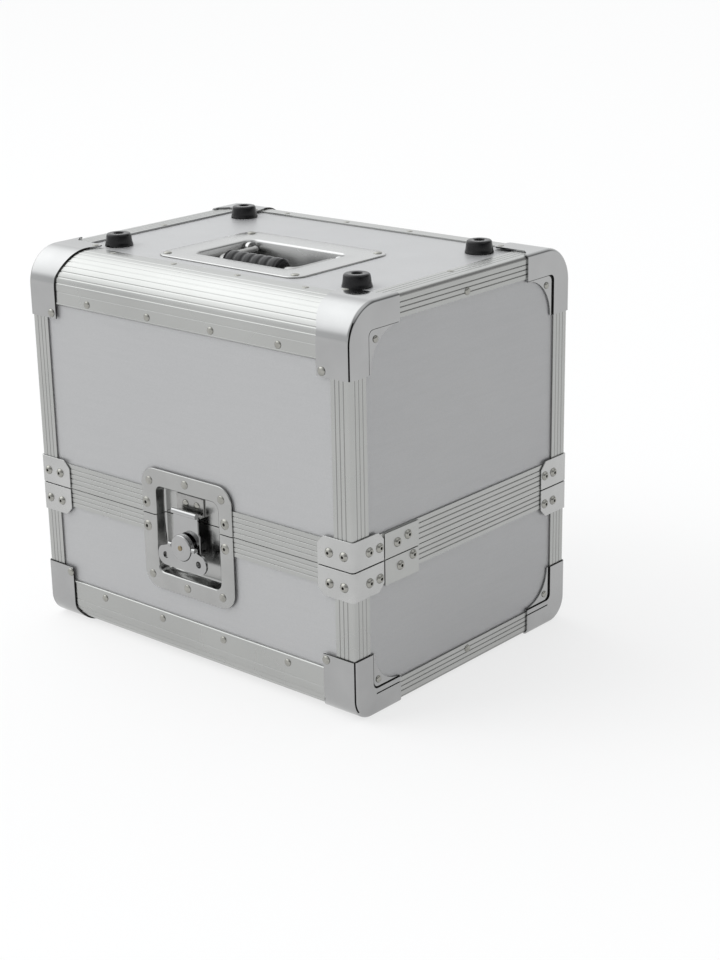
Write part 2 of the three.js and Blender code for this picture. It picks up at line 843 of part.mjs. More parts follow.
// The spindle: a round head, the cross pin stubs, a neck, the cam and its shaft.
function addSpindle() {
  const axle = (radius, from, to, sides, drop) => atFront(
    disc(latchShift, spindleHeight - drop, radius, sides), from, to,
  );
  const pinDepth = (wingFront + wingBack) / 2;
  const reach = hubRadius + wingYokeGap + knuckleRadius;
  const crossPin = slab(
    disc(-sideY - pinDepth, spindleHeight, crossPinRadius, smallSides),
    'x', latchShift - reach, latchShift + reach,
  );
  const spindle = axle(hubRadius, -hubFront, -hubBack, roundSides, 0)
    .add(crossPin)
    .add(axle(neckRadius, -hubBack - seatGap, camFront + seatGap, roundSides, 0))
    .add(axle(camRadius, camFront, camBack, roundSides, camThrow))
    .add(axle(shaftRadius, camBack - seatGap, latchRecess + sheet + shaftTail, roundSides, 0));
  addPiece('latch_spindle', toGeometry(spindle), chrome, 0, 0, 0);
}

// The wing folds on the cross pin: a plate with two round lobes and a hole in
// each, and a knuckle on either side of the spindle head.
function addWing() {
  const shape = new THREE.Shape();
  const lobeZ = spindleHeight - wingLobeDrop;
  const left = latchShift - wingLobeSpread;
  const right = latchShift + wingLobeSpread;
  const waist = hubRadius + wingYokeGap + knuckleRadius;
  const shoulder = wingLobeRadius * Math.cos(Math.PI / 4);
  shape.moveTo(latchShift - waist, spindleHeight);
  shape.lineTo(left - shoulder, lobeZ + shoulder);
  shape.absarc(left, lobeZ, wingLobeRadius, 0.75 * Math.PI, 1.5 * Math.PI, false);
  shape.lineTo(right, lobeZ - wingLobeRadius);
  shape.absarc(right, lobeZ, wingLobeRadius, 1.5 * Math.PI, 2.25 * Math.PI, false);
  shape.lineTo(latchShift + waist, spindleHeight);
  for (const x of [left, right]) {
    const hole = new THREE.Path();
    hole.absarc(x, lobeZ, wingHoleRadius, 0, 2 * Math.PI, true);
    shape.holes.push(hole);
  }
  const pinY = -sideY - (wingFront + wingBack) / 2;
  const plate = atFront(shape, -wingFront, -wingBack);
  const yoke = atFront(
    disc(latchShift, spindleHeight, hubRadius + wingYokeGap, roundSides),
    -hubFront - cut, 0,
  );
  let wing = plate.subtract(yoke);
  for (const side of [-1, 1]) {
    const near = latchShift + side * (hubRadius + wingYokeGap);
    const far = latchShift + side * (waist + knuckleRadius / 2);
    const low = Math.min(near, far);
    const high = Math.max(near, far);
    wing = wing
      .add(slab(disc(pinY, spindleHeight, knuckleRadius, smallSides), 'x', low, high))
      .subtract(slab(
        disc(pinY, spindleHeight, crossPinRadius + runGap, smallSides),
        'x', low - cut, high + cut,
      ));
  }
  addPiece('latch_wing', toGeometry(wing), chrome, 0, 0, 0);
}

function atTop(shape, from, to) {
  return slab(shape, 'z', bodyTop - to, bodyTop - from);
}

// The handle well: a pressed tray with two ears that carry the bail.
function addHandleWell() {
  const half = wellWidth / 2;
  const halfDepth = wellDepth / 2;
  const rim = roundedRectangle(
    -handleWidth / 2, handleWidth / 2,
    handleY - handleDepth / 2, handleY + handleDepth / 2, handleRadius,
  );
  const hole = roundedRectangle(
    -half, half, wellY - halfDepth, wellY + halfDepth, wellRadius,
  );
  const holeOuter = roundedRectangle(
    -half - sheet, half + sheet, wellY - halfDepth - sheet, wellY + halfDepth + sheet,
    wellRadius + sheet,
  );
  const rimBack = -panelOuter + seatGap;
  let well = tray(rim, hole, holeOuter, wellRecess, rimBack, atTop);
  for (const side of [-1, 1]) {
    const near = side * (bailHalf + bailBend + seatGap);
    const far = side * (bailHalf + bailBend + seatGap + earWidth);
    const low = Math.min(near, far);
    const high = Math.max(near, far);
    const ear = slab(
      rectangle(bailY - earHalf, bailY + earHalf, bodyTop - wellRecess - sheet / 2,
        bodyTop - bailDrop + earHeight),
      'x', low, high,
    );
    const bore = slab(
      disc(bailY, bodyTop - bailDrop, bailRod + runGap, roundSides), 'x', low - cut, high + cut,
    );
    well = well.add(ear).subtract(bore);
  }
  addPiece('handle_well', toGeometry(well), chrome, 0, 0, 0);
}

// The bail: a round rod bent to a U, with its two ends turned out as pins.
function addBail() {
  const z = bodyTop - bailDrop;
  const front = bailY - bailArm;
  const path = new THREE.CurvePath();
  const point = (x, y) => new THREE.Vector3(x, y, z);
  const end = bailHalf + bailBend + bailPinReach;
  const bend = bailBend;
  const corner = (start, middle, finish) => path.add(
    new THREE.QuadraticBezierCurve3(start, middle, finish),
  );
  const run = (start, finish) => path.add(new THREE.LineCurve3(start, finish));
  run(point(-end, bailY), point(-bailHalf - bend, bailY));
  corner(point(-bailHalf - bend, bailY), point(-bailHalf, bailY), point(-bailHalf, bailY - bend));
  run(point(-bailHalf, bailY - bend), point(-bailHalf, front + bailCorner));
  corner(
    point(-bailHalf, front + bailCorner), point(-bailHalf, front),
    point(-bailHalf + bailCorner, front),
  );
  run(point(-bailHalf + bailCorner, front), point(bailHalf - bailCorner, front));
  corner(
    point(bailHalf - bailCorner, front), point(bailHalf, front),
    point(bailHalf, front + bailCorner),
  );
  run(point(bailHalf, front + bailCorner), point(bailHalf, bailY - bend));
  corner(point(bailHalf, bailY - bend), point(bailHalf, bailY), point(bailHalf + bend, bailY));
  run(point(bailHalf + bend, bailY), point(end, bailY));
  const geometry = new THREE.ExtrudeGeometry(disc(0, 0, bailRod, smallSides), {
    extrudePath: path, steps: bailSteps, bevelEnabled: false,
  });
  addPiece('handle_bail', welded(geometry), steel, 0, 0, 0);
}

// The rubber grip: a sleeve on the bail with shallow rings.
function addGrip() {
  const bore = bailRod + gripPlay;
  const points = [[bore, -gripHalf], [gripRadius - gripRound, -gripHalf]];
  points.push([gripRadius, -gripHalf + gripRound]);
  for (let i = 1; i <= gripRings; i += 1) {
    const middle = -gripHalf + (2 * gripHalf * i) / (gripRings + 1);
    points.push([gripRadius, middle - gripRound / 2]);
    points.push([gripRadius - gripRingDepth, middle]);
    points.push([gripRadius, middle + gripRound / 2]);
  }
  points.push([gripRadius, gripHalf - gripRound]);
  points.push([gripRadius - gripRound, gripHalf], [bore, gripHalf], [bore, -gripHalf]);
  const geometry = new THREE.LatheGeometry(
    points.map(([r, along]) => new THREE.Vector2(r, along)), roundSides,
  );
  geometry.rotateZ(-Math.PI / 2);
  const y = bailY - bailArm;
  addPiece('handle_grip', welded(geometry), rubber, 0, y, bodyTop - bailDrop);
}

function addFeet() {
  const seat = bodyTop - panelOuter + seatGap;
  const profilePoints = [
    [0, 0], [footBase, 0], [footBase, footRound], [footTop, footHeight - footRound],
    [footTop - footRound, footHeight], [footRecess, footHeight],
    [footRecess, footHeight - footRecessDepth], [0, footHeight - footRecessDepth],
  ];
  const foot = welded(new THREE.LatheGeometry(
    profilePoints.map(([r, along]) => new THREE.Vector2(r, along)), roundSides,
  ));
  foot.rotateX(Math.PI / 2);
  for (const [name, signX, signY] of cornerNames) {
    addPiece(
      `${name}_foot`, foot.clone(), rubber,
      signX * (sideX - footInset), signY * (sideY - footFromFront), seat,
    );
  }
}

// A continuous hinge: two leaves on the closure profiles, their knuckles in
// turn along one pin.
function addHinge() {
  const axisY = sideY + seatGap + hingeRadius;
  const leafOuter = sideY + seatGap + sheet;
  const step = (2 * hingeHalf) / hingeKnuckles;
  const barrel = (low, high) => slab(
    disc(axisY, splitHeight, hingeRadius, smallSides), 'x', low, high,
  );
  const bore = slab(
    disc(axisY, splitHeight, hingeBore, smallSides), 'x', -hingeHalf - cut, hingeHalf + cut,
  );
  const leaf = (low, high, lowX, highX) => block(
    lowX, highX, sideY + seatGap, leafOuter, low, high,
  );
  const sides = [
    ['hinge_base_leaf', 0, splitHeight - hingeLeaf, splitHeight - hingeRelief, splitHeight],
    ['hinge_lid_leaf', 1, splitHeight + hingeRelief, splitHeight + hingeLeaf, splitHeight],
  ];
  for (const [name, first, low, high, middle] of sides) {
    let solid = leaf(low, high, -hingeHalf, hingeHalf);
    for (let i = first; i < hingeKnuckles; i += 2) {
      const start = -hingeHalf + i * step + hingeKnuckleGap / 2;
      const end = -hingeHalf + (i + 1) * step - hingeKnuckleGap / 2;
      solid = solid.add(leaf(Math.min(middle, low), Math.max(middle, high), start, end));
      solid = solid.add(barrel(start, end));
    }
    addPiece(name, toGeometry(solid.subtract(bore)), steel, 0, 0, 0);
  }
  const pin = prism(
    disc(axisY, splitHeight, hingePin, smallSides), 'x', -hingeHalf, hingeHalf,
  );
  addPiece('hinge_pin', pin, steel, 0, 0, 0);
}

addBasePanels();
addLidPanels();
addEdgeProfiles('base', -1, bodyBottom, bottomEdge);
addEdgeProfiles('lid', 1, bodyTop, topEdge);
addUprights(
  'base', bodyBottom + bottomEdge.radius + uprightReach, splitHeight - closureInner - seatGap,
);
addUprights('lid', splitHeight + lidStrip + seatGap, bodyTop - topEdge.radius - uprightReach);
addClosureProfiles();
addCorners();
addBrackets();
addLatchTrays();
addStrike();
addHook();
addSpindle();
addWing();
addHandleWell();
addBail();
addGrip();
addFeet();
addHinge();

export default caseGroup;
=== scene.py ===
"""Looks of the record carrying case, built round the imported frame. Metres, +Z up."""

import json
import math

import bmesh
import bpy
from mathutils import Matrix, Vector

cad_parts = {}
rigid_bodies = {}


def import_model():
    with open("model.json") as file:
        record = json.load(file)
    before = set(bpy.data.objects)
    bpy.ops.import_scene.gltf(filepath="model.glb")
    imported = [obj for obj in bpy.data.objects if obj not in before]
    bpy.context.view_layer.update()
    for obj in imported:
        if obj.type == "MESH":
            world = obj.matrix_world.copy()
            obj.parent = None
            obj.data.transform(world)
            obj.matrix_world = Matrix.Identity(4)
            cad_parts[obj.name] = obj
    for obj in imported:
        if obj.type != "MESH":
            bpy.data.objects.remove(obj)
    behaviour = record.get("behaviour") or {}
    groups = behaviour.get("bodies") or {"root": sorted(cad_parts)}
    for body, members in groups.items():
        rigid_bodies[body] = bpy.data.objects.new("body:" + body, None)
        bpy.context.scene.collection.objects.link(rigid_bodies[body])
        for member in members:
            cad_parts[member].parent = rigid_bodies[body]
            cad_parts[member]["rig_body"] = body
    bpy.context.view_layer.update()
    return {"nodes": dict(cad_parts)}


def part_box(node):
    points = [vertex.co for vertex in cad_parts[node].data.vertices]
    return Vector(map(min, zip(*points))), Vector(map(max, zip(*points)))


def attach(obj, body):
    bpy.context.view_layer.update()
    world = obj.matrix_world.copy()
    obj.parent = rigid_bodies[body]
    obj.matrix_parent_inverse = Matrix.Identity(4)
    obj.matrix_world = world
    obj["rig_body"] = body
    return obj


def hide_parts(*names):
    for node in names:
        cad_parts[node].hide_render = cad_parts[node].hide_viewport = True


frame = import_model()
nodes = frame["nodes"]

MM = 0.001
OVERRUN = 2 * MM
SIGNS = (-1, 1)
CORNER_SIGNS = [(x, y) for x in SIGNS for y in SIGNS]


def in_metres(*places):
    """Points or sizes given in millimetres."""
    return [tuple(value * MM for value in place) for place in places]


# Faces of the case, read from the frame
SIDE_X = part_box("lid_front_right_upright")[1][0]
SIDE_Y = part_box("lid_back_right_upright")[1][1]
BODY_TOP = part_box("lid_front_edge_profile")[1][2]
BODY_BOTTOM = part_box("base_front_edge_profile")[0][2]
SPLIT = (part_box("base_front_left_bracket")[1][2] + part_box("lid_front_left_bracket")[0][2]) / 2
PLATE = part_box("lid_front_right_bracket")[1][0] - SIDE_X
SHEET = 1.2 * MM
SEAT = 0.3 * MM

# The outer level face of each half, and the way in from it
HALF_FACES = {"lid": (BODY_TOP, -1), "base": (BODY_BOTTOM, 1)}

# Smoothing and small edge rounding
EDGE_ROUND = 0.35 * MM
SOFT_ROUND = 0.3 * MM
FINE_ROUND = 0.18 * MM
SLIM_ROUND = 0.08 * MM
MERGE_DISTANCE = 0.002 * MM
DISSOLVE_ANGLE = math.radians(1.5)
BEVEL_ANGLE = math.radians(34)
SMOOTH_ANGLE = math.radians(50)
SOFT_ANGLE = math.radians(40)
CRISP_ANGLE = math.radians(35)
ROUNDED_WEIGHT = 90
EVEN_WEIGHT = 50

# Faces of a profile that lie in a groove, by their depth, painted with shade, and cut faces of its
# level flanges
GROOVE_TOP = 0.12 * MM
GROOVE_BOTTOM = 1.1 * MM
CORNER_ROUND = 2.2 * MM
FLANGE = 1.5 * MM
FLANGE_FACE_SLOPE = 0.8

# Camera: a fit of the case's edges in the photograph
PHOTO_WIDTH = 720
PHOTO_HEIGHT = 960
FOCAL_PX = 1879.458
CENTRE_PX = (328.636, 453.091)
CAMERA_PLACE = Vector((1.12902, -1.22009, 0.70030))
CAMERA_YAW = -0.731475
CAMERA_PITCH = -0.313625
CAMERA_ROLL = -0.023446
SENSOR = 36.0
CAMERA_REACH = 40


def add_camera():
    """The photograph's camera, from its fitted place, aim and focal length."""
    yaw, pitch, roll = CAMERA_YAW, CAMERA_PITCH, CAMERA_ROLL
    forward = Vector((
        math.sin(yaw) * math.cos(pitch), math.cos(yaw) * math.cos(pitch), math.sin(pitch),
    ))
    level = Vector((math.cos(yaw), -math.sin(yaw), 0))
    up = level.cross(forward)
    right = math.cos(roll) * level + math.sin(roll) * up
    top = -math.sin(roll) * level + math.cos(roll) * up
    data = bpy.data.cameras.new("camera")
    longest = max(PHOTO_WIDTH, PHOTO_HEIGHT)
    data.sensor_width = SENSOR
    data.lens = FOCAL_PX * SENSOR / longest
    data.shift_x = (PHOTO_WIDTH / 2 - CENTRE_PX[0]) / longest
    data.shift_y = (CENTRE_PX[1] - PHOTO_HEIGHT / 2) / longest
    data.clip_end = CAMERA_REACH
    camera = bpy.data.objects.new("camera", data)
    turn = Matrix((right, top, -forward)).transposed().to_4x4()
    camera.matrix_world = Matrix.Translation(CAMERA_PLACE) @ turn
    bpy.context.scene.collection.objects.link(camera)
    bpy.context.scene.camera = camera


# Materials

EVEN = (1, 1, 1)
NOISE_LOW = 0.3
NOISE_HIGH = 0.7
FINE_GRAIN = 1500
BUMP_DISTANCE = 0.1 * MM


def new_material(name):
    """A material, its node tree and its shader."""
    material = bpy.data.materials.new(name)
    material.use_nodes = True
    tree = material.node_tree
    return material, tree, tree.nodes["Principled BSDF"]


def feed(tree, node, inputs):
    """Links the inputs of a node that are given as sockets, and sets the others."""
    for name, value in inputs.items():
        if isinstance(value, bpy.types.NodeSocket):
            tree.links.new(value, node.inputs[name])
        else:
            node.inputs[name].default_value = value


def add_node(tree, kind, inputs, **settings):
    """A shader node with its inputs and settings."""
    node = tree.nodes.new("ShaderNode" + kind)
    for name, value in settings.items():
        setattr(node, name, value)
    feed(tree, node, inputs)
    return node


def object_coordinates(tree, scale=EVEN):
    """Object coordinates stretched by scale, for grain that runs one way."""
    place = add_node(tree, "TexCoord", {}).outputs["Object"]
    return add_node(tree, "Mapping", {"Vector": place, "Scale": scale}).outputs["Vector"]


def noise(tree, vector, scale, detail=3.0):
    """The value of a noise texture."""
    inputs = {"Vector": vector, "Scale": scale, "Detail": detail, "Roughness": 0.5}
    return add_node(tree, "TexNoise", inputs).outputs["Fac"]


def ramp(tree, factor, low, high, start=NOISE_LOW, end=NOISE_HIGH):
    """A colour ramp between two colours."""
    node = add_node(tree, "ValToRGB", {"Fac": factor})
    for index, (place, colour) in enumerate(((start, low), (end, high))):
        element = node.color_ramp.elements[index]
        element.position = place
        element.color = (*colour, 1)
    return node.outputs["Color"]


def spread(tree, factor, low, high):
    """A factor mapped to the range from low to high."""
    inputs = {
        "Value": factor, "From Min": NOISE_LOW, "From Max": NOISE_HIGH, "To Min": low, "To Max": high,
    }
    return add_node(tree, "MapRange", inputs).outputs["Result"]


def bump(tree, shader, height, strength):
    """Fine relief on a surface."""
    inputs = {"Strength": strength, "Distance": BUMP_DISTANCE, "Height": height}
    feed(tree, shader, {"Normal": add_node(tree, "Bump", inputs).outputs["Normal"]})


def metal(name, low, high, roughness, cloud_scale, grain_scale=0, grain_stretch=EVEN, relief=0):
    """A metal whose colour and roughness vary over the surface, with a fine grain."""
    material, tree, shader = new_material(name)
    cloud = noise(tree, object_coordinates(tree), cloud_scale)
    feed(tree, shader, {
        "Metallic": 1.0, "Base Color": ramp(tree, cloud, low, high),
        "Roughness": spread(tree, cloud, *roughness),
    })
    if grain_scale:
        grain = noise(tree, object_coordinates(tree, grain_stretch), grain_scale, 2.0)
        bump(tree, shader, grain, relief)
    return material


def laminate(name, low, high):
    """Silver laminate: a fine metallic fleck under a satin film, with faint brushing."""
    material, tree, shader = new_material(name)
    vector = object_coordinates(tree)
    fleck = noise(tree, vector, FINE_GRAIN, 2.0)
    streak = noise(tree, object_coordinates(tree, (1, 1, 20)), 24)
    cloud = noise(tree, vector, 5, 2.0)
    inputs = {
        "Factor": 1.0, "A": ramp(tree, fleck, low, high, 0.35, 0.65),
        "B": ramp(tree, cloud, (0.97, 0.97, 0.975), EVEN),
    }
    mix = add_node(tree, "Mix", inputs, data_type="RGBA", blend_type="MULTIPLY")
    feed(tree, shader, {
        "Base Color": mix.outputs["Result"], "Roughness": spread(tree, streak, 0.42, 0.5),
        "Metallic": 0.55, "Coat Weight": 0.2, "Coat Roughness": 0.28,
    })
    bump(tree, shader, streak, 0.05)
    return material


def black_rubber(name, low, high, roughness=(0.32, 0.5)):
    """Black rubber with a fine grain, also used as painted shade at the bottoms of rivet holes."""
    material, tree, shader = new_material(name)
    vector = object_coordinates(tree)
    grain = noise(tree, vector, 260)
    feed(tree, shader, {
        "Specular IOR Level": 0.28, "Base Color": ramp(tree, grain, low, high),
        "Roughness": spread(tree, grain, *roughness),
    })
    bump(tree, shader, noise(tree, vector, FINE_GRAIN), 0.12)
    return material


def extruded(name, stretch):
    """Anodised aluminium with faint drawing lines along the profile."""
    return metal(
        name, (0.4, 0.405, 0.395), (0.45, 0.455, 0.445), (0.24, 0.3), 9, 700, stretch, 0.06,
    )


MATERIALS = {
    "laminate": laminate("laminate", (0.43, 0.432, 0.436), (0.47, 0.472, 0.476)),
    "profile_x": extruded("profile_x", (0.01, 1, 1)),
    "profile_y": extruded("profile_y", (1, 0.01, 1)),
    "profile_z": extruded("profile_z", (1, 1, 0.01)),
    "profile_level": extruded("profile_level", (0.01, 0.01, 1)),
    "chrome": metal("chrome", (0.37, 0.372, 0.372), (0.41, 0.412, 0.412), (0.07, 0.12), 25),
    "plate": metal(
        "plate", (0.46, 0.462, 0.458), (0.52, 0.522, 0.518), (0.2, 0.3), 30, 500, EVEN, 0.01,
    ),
    "steel": metal("steel", (0.3, 0.3, 0.295), (0.38, 0.378, 0.37), (0.16, 0.26), 120),
    "rivet": metal("rivet", (0.29, 0.288, 0.265), (0.38, 0.376, 0.35), (0.16, 0.26), 200),
    "dish": metal("dish", (0.37, 0.372, 0.366), (0.42, 0.422, 0.416), (0.15, 0.24), 30),
    # A darker metal painted into the grooves of the profiles as shade
    "painted_groove_shade": metal("painted_groove_shade", (0.27, 0.27, 0.265), (0.32, 0.32, 0.314), (0.35, 0.45), 60),
    "brass": metal("brass", (0.22, 0.18, 0.12), (0.3, 0.25, 0.17), (0.25, 0.38), 300),
    # Near-black metal: partly the dark unplated cut edge, partly painted shade in seams, slits, steps
    # and beside the proud caps
    "cut_edge_and_painted_shade": metal("cut_edge_and_painted_shade", (0.03, 0.03, 0.03), (0.06, 0.06, 0.058), (0.4, 0.55), 200),
    "rubber": black_rubber("rubber", (0.004, 0.004, 0.005), (0.01, 0.01, 0.011), (0.14, 0.26)),
    # Black discs at the bottoms of rivet holes: painted shade
    "hole": black_rubber("hole", (0.004, 0.004, 0.004), (0.01, 0.01, 0.01)),
}


# Meshes


def body_of(node):
    """The body that a CAD node rides on."""
    return nodes[node]["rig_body"]


def corners_of(node):
    """The lowest and highest corners of a CAD node."""
    return [Vector(corner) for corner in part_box(node)]


def link(name, mesh):
    """A new object in the scene."""
    piece = bpy.data.objects.new(name, mesh)
    bpy.context.scene.collection.objects.link(piece)
    return piece


def from_work(name, work, outward=True):
    """Turns a bmesh into an object, and its faces outward unless they lie right already."""
    if outward:
        bmesh.ops.recalc_face_normals(work, faces=work.faces)
    mesh = bpy.data.meshes.new(name)
    work.to_mesh(mesh)
    work.free()
    return link(name, mesh)


def smooth(piece, angle=SMOOTH_ANGLE):
    """Shades a piece smooth but for the edges over an angle."""
    mesh = piece.data
    mesh.polygons.foreach_set("use_smooth", [True] * len(mesh.polygons))
    mesh.set_sharp_from_angle(angle=angle)


def apply_modifiers(piece):
    """Puts what the modifiers make in place of the mesh."""
    depsgraph = bpy.context.evaluated_depsgraph_get()
    mesh = bpy.data.meshes.new_from_object(piece.evaluated_get(depsgraph))
    old = piece.data
    piece.modifiers.clear()
    piece.data = mesh
    bpy.data.meshes.remove(old)


def even_shading(piece, angle, weight):
    """Shades a piece smooth, led by its large faces."""
    smooth(piece, angle)
    even = piece.modifiers.new("even", "WEIGHTED_NORMAL")
    even.keep_sharp = True
    even.weight = weight
    apply_modifiers(piece)


def rounded(piece, width, segments=2, angle=BEVEL_ANGLE):
    """Rounds the sharp edges of a piece and evens its shading."""
    bevel = piece.modifiers.new("round", "BEVEL")
    bevel.width = width
    bevel.segments = segments
    bevel.limit_method = "ANGLE"
    bevel.angle_limit = angle
    bevel.use_clamp_overlap = True
    apply_modifiers(piece)
    even_shading(piece, SMOOTH_ANGLE, ROUNDED_WEIGHT)


def dress(piece, material, body, slot, *replaced):
    """Gives a piece its material and its body, and hides the nodes that it stands for. The slot is not
    used.
    """
    kept = [face.material_index for face in piece.data.polygons]
    piece.data.materials.clear()
    piece.data.materials.append(MATERIALS[material])
    # Faces marked for the second slot get the near-black metal: dark cut edges and painted shade
    if any(kept):
        piece.data.materials.append(MATERIALS["cut_edge_and_painted_shade"])
        piece.data.polygons.foreach_set("material_index", kept)
    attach(piece, body)
    if replaced:
        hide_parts(*replaced)
    return piece


def rounded_copy(node, material, slot, width=EDGE_ROUND):
    """A copy of a CAD node with its sharp edges rounded, in the node's place."""
    work = bmesh.new()
    work.from_mesh(nodes[node].data)
    bmesh.ops.remove_doubles(work, verts=work.verts, dist=MERGE_DISTANCE)
    bmesh.ops.dissolve_limit(
        work, angle_limit=DISSOLVE_ANGLE, verts=work.verts, edges=work.edges,
    )
    piece = from_work(node + "_dressed", work, False)
    rounded(piece, width)
    return dress(piece, material, body_of(node), slot, node)


def paint_groove_shade(piece):
    """Paints shade on the faces that lie a little under the outer faces of a profile, with a darker
    metal.
    """
    piece.data.materials.append(MATERIALS["painted_groove_shade"])
    for face in piece.data.polygons:
        side = SIDE_X - abs(face.center.x)
        front = SIDE_Y - abs(face.center.y)
        if max(side, front) > CORNER_ROUND and GROOVE_TOP < min(side, front) < GROOVE_BOTTOM:
            face.material_index = 1


def soften_flanges(piece):
    """Gives the matt cut faces of the level flanges of a profile the finish of the laminate."""
    piece.data.materials.append(MATERIALS["laminate"])
    for face in piece.data.polygons:
        near = min(abs(BODY_TOP - face.center.z), abs(face.center.z - BODY_BOTTOM))
        inside = SIDE_X - abs(face.center.x) > CORNER_ROUND
        if near < FLANGE and inside and abs(face.normal.x) > FLANGE_FACE_SLOPE:
            face.material_index = 2


def mesh_piece(name, work, material, body, slot, replaced=(), angle=SMOOTH_ANGLE):
    """Turns a bmesh into a dressed piece."""
    piece = from_work(name, work)
    smooth(piece, angle)
    return dress(piece, material, body, slot, *replaced)


def ring_loft(work, rings, close=True):
    """Joins rings of equal length with faces, and closes both ends."""
    made = [[work.verts.new(point) for point in ring] for ring in rings]
    for lower, upper in zip(made, made[1:]):
        count = len(lower)
        for i in range(count):
            k = (i + 1) % count
            work.faces.new((lower[i], upper[i], upper[k], lower[k]))
    if close:
        work.faces.new(made[0])
        work.faces.new(list(reversed(made[-1])))
    return made


def lathe(work, points, place, turn, sides):
    """Adds a closed turned form to work. Points are (radius, height) from the axis."""
    rings = []
    for radius, height in points:
        if radius == 0:
            rings.append([work.verts.new(place + turn @ Vector((0, 0, height)))])
            continue
        ring = []
        for i in range(sides):
            angle = 2 * math.pi * i / sides
            spot = Vector((radius * math.cos(angle), radius * math.sin(angle), height))
            ring.append(work.verts.new(place + turn @ spot))
        rings.append(ring)
    for lower, upper in zip(rings, rings[1:]):
        for i in range(sides):
            k = (i + 1) % sides
            if len(lower) == 1:
                work.faces.new((lower[0], upper[i], upper[k]))
            elif len(upper) == 1:
                work.faces.new((lower[i], upper[0], lower[k]))
            else:
                work.faces.new((lower[i], upper[i], upper[k], lower[k]))


def facing(direction):
    """A turn that takes +Z to a direction."""
    return Vector((0, 0, 1)).rotation_difference(Vector(direction)).to_matrix()


def add_turned(name, spots, points, sides, *finish):
    """A piece of equal turned forms, each at (place, outward direction)."""
    work = bmesh.new()
    for place, direction in spots:
        lathe(work, points, Vector(place), facing(direction), sides)
    return mesh_piece(name, work, *finish)


def prism(points, axis, low, high):
    """A mesh of an outline carried along an axis: (y, z) along x, (x, z) along y, (x, y) along z."""
    at = "xyz".index(axis)
    work = bmesh.new()
    ring_loft(work, [[(*point[:at], level, *point[at:]) for point in points] for level in (low, high)])
    return from_work("prism", work)


def two_slots(piece, index=0):
    """Gives a piece the slots for its face and for its dark cut edges and painted shade, with every
    face in one of them.
    """
    piece.data.materials.clear()
    piece.data.materials.append(MATERIALS["chrome"])
    piece.data.materials.append(MATERIALS["cut_edge_and_painted_shade"])
    piece.data.polygons.foreach_set("material_index", [index] * len(piece.data.polygons))
    return piece


def combine(piece, other, operation):
    """Changes piece by a boolean with other, and takes other away."""
    modifier = piece.modifiers.new("boolean", "BOOLEAN")
    modifier.operation = operation
    modifier.solver = "EXACT"
    modifier.object = other
    apply_modifiers(piece)
    bpy.data.objects.remove(other)
    return piece


def oval(centre_a, centre_b, radius_a, radius_b, start, end, steps):
    """Points along part of an ellipse."""
    points = []
    for i in range(steps + 1):
        angle = start + (end - start) * i / steps
        points.append((centre_a + radius_a * math.cos(angle), centre_b + radius_b * math.sin(angle)))
    return points


def arc(centre_a, centre_b, radius, start, end, steps):
    """Points along part of a circle."""
    return oval(centre_a, centre_b, radius, radius, start, end, steps)


def circle(centre_a, centre_b, radius, sides):
    """Points round a circle."""
    return arc(centre_a, centre_b, radius, 0, 2 * math.pi, sides)[:-1]


def rectangle(low_a, low_b, high_a, high_b):
    """The corners of a rectangle."""
    return [(low_a, low_b), (high_a, low_b), (high_a, high_b), (low_a, high_b)]


def rounded_rectangle(half_a, half_b, radius, centre, steps):
    """Points round a rectangle with round corners."""
    quarter = math.pi / 2
    points = []
    for index, (sign_a, sign_b) in enumerate([(1, 1), (-1, 1), (-1, -1), (1, -1)]):
        points += arc(
            centre[0] + sign_a * (half_a - radius), centre[1] + sign_b * (half_b - radius),
            radius, quarter * index, quarter * (index + 1), steps,
        )
    return points


def bent_points(start, first, second, end, steps):
    """Points of a cubic Bezier curve in a plane."""
    points = []
    for i in range(steps + 1):
        t = i / steps
        weights = ((1 - t) ** 3, 3 * t * (1 - t) ** 2, 3 * t * t * (1 - t), t ** 3)
        points.append(tuple(
            sum(weight * point[k] for weight, point in zip(weights, (start, first, second, end)))
            for k in (0, 1)
        ))
    return points


# Pressed corners. Coordinates run in from the side, the front and the top or
# bottom face of the body.

CORNER_SIDES = {
    "front_left": (-1, -1), "front_right": (1, -1), "back_left": (-1, 1), "back_right": (1, 1),
}
CAP_ROUND = 3.5 * MM
CAP_BAND = 33.5 * MM
CAP_ARM = 22.3 * MM
CAP_TAB = 46.5 * MM
CAP_TAB_HALF = 5 * MM
CAP_TAB_BEND_SHARE = 0.7
CAP_REAR = 50 * MM
CAP_REAR_CORNER = 11 * MM
WEB_OUT = -0.1 * MM
WEB_LAND_FRONT = 3.4 * MM
WEB_LAND_REAR = 0.9 * MM
WEB_START = 19 * MM
WEB_ROUND = 5.5 * MM
# A thin near-black strip on the web beside the arms: painted shade
CREASE_SHADE_UPRIGHT = 2.1 * MM
CREASE_SHADE_LEVEL = 1.0 * MM
CREASE_SHADE_RISE = 0.05 * MM
SEAM_TURN = math.radians(36)
SEAM_WIDTH = 1.6 * MM
SEAM_DEPTH = 1.6 * MM
CAP_EDGE_ROUND = 0.22 * MM
CAP_BEVEL_ANGLE = math.radians(30)
ARC_STEPS = 28
ROUND_STEPS = 6

CAPS = {
    "lid": {
        "radius": 32 * MM, "front": 59.5 * MM, "rear": 61.8 * MM, "arm": 22.7 * MM, "slit": 0,
    },
    "base": {
        "radius": 20 * MM, "front": 54.4 * MM, "rear": 57.8 * MM, "arm": 22.0 * MM,
        "slit": 17.7 * MM,
    },
}
SLIT_WIDTH = 1.2 * MM
SLIT_START = 25.8 * MM


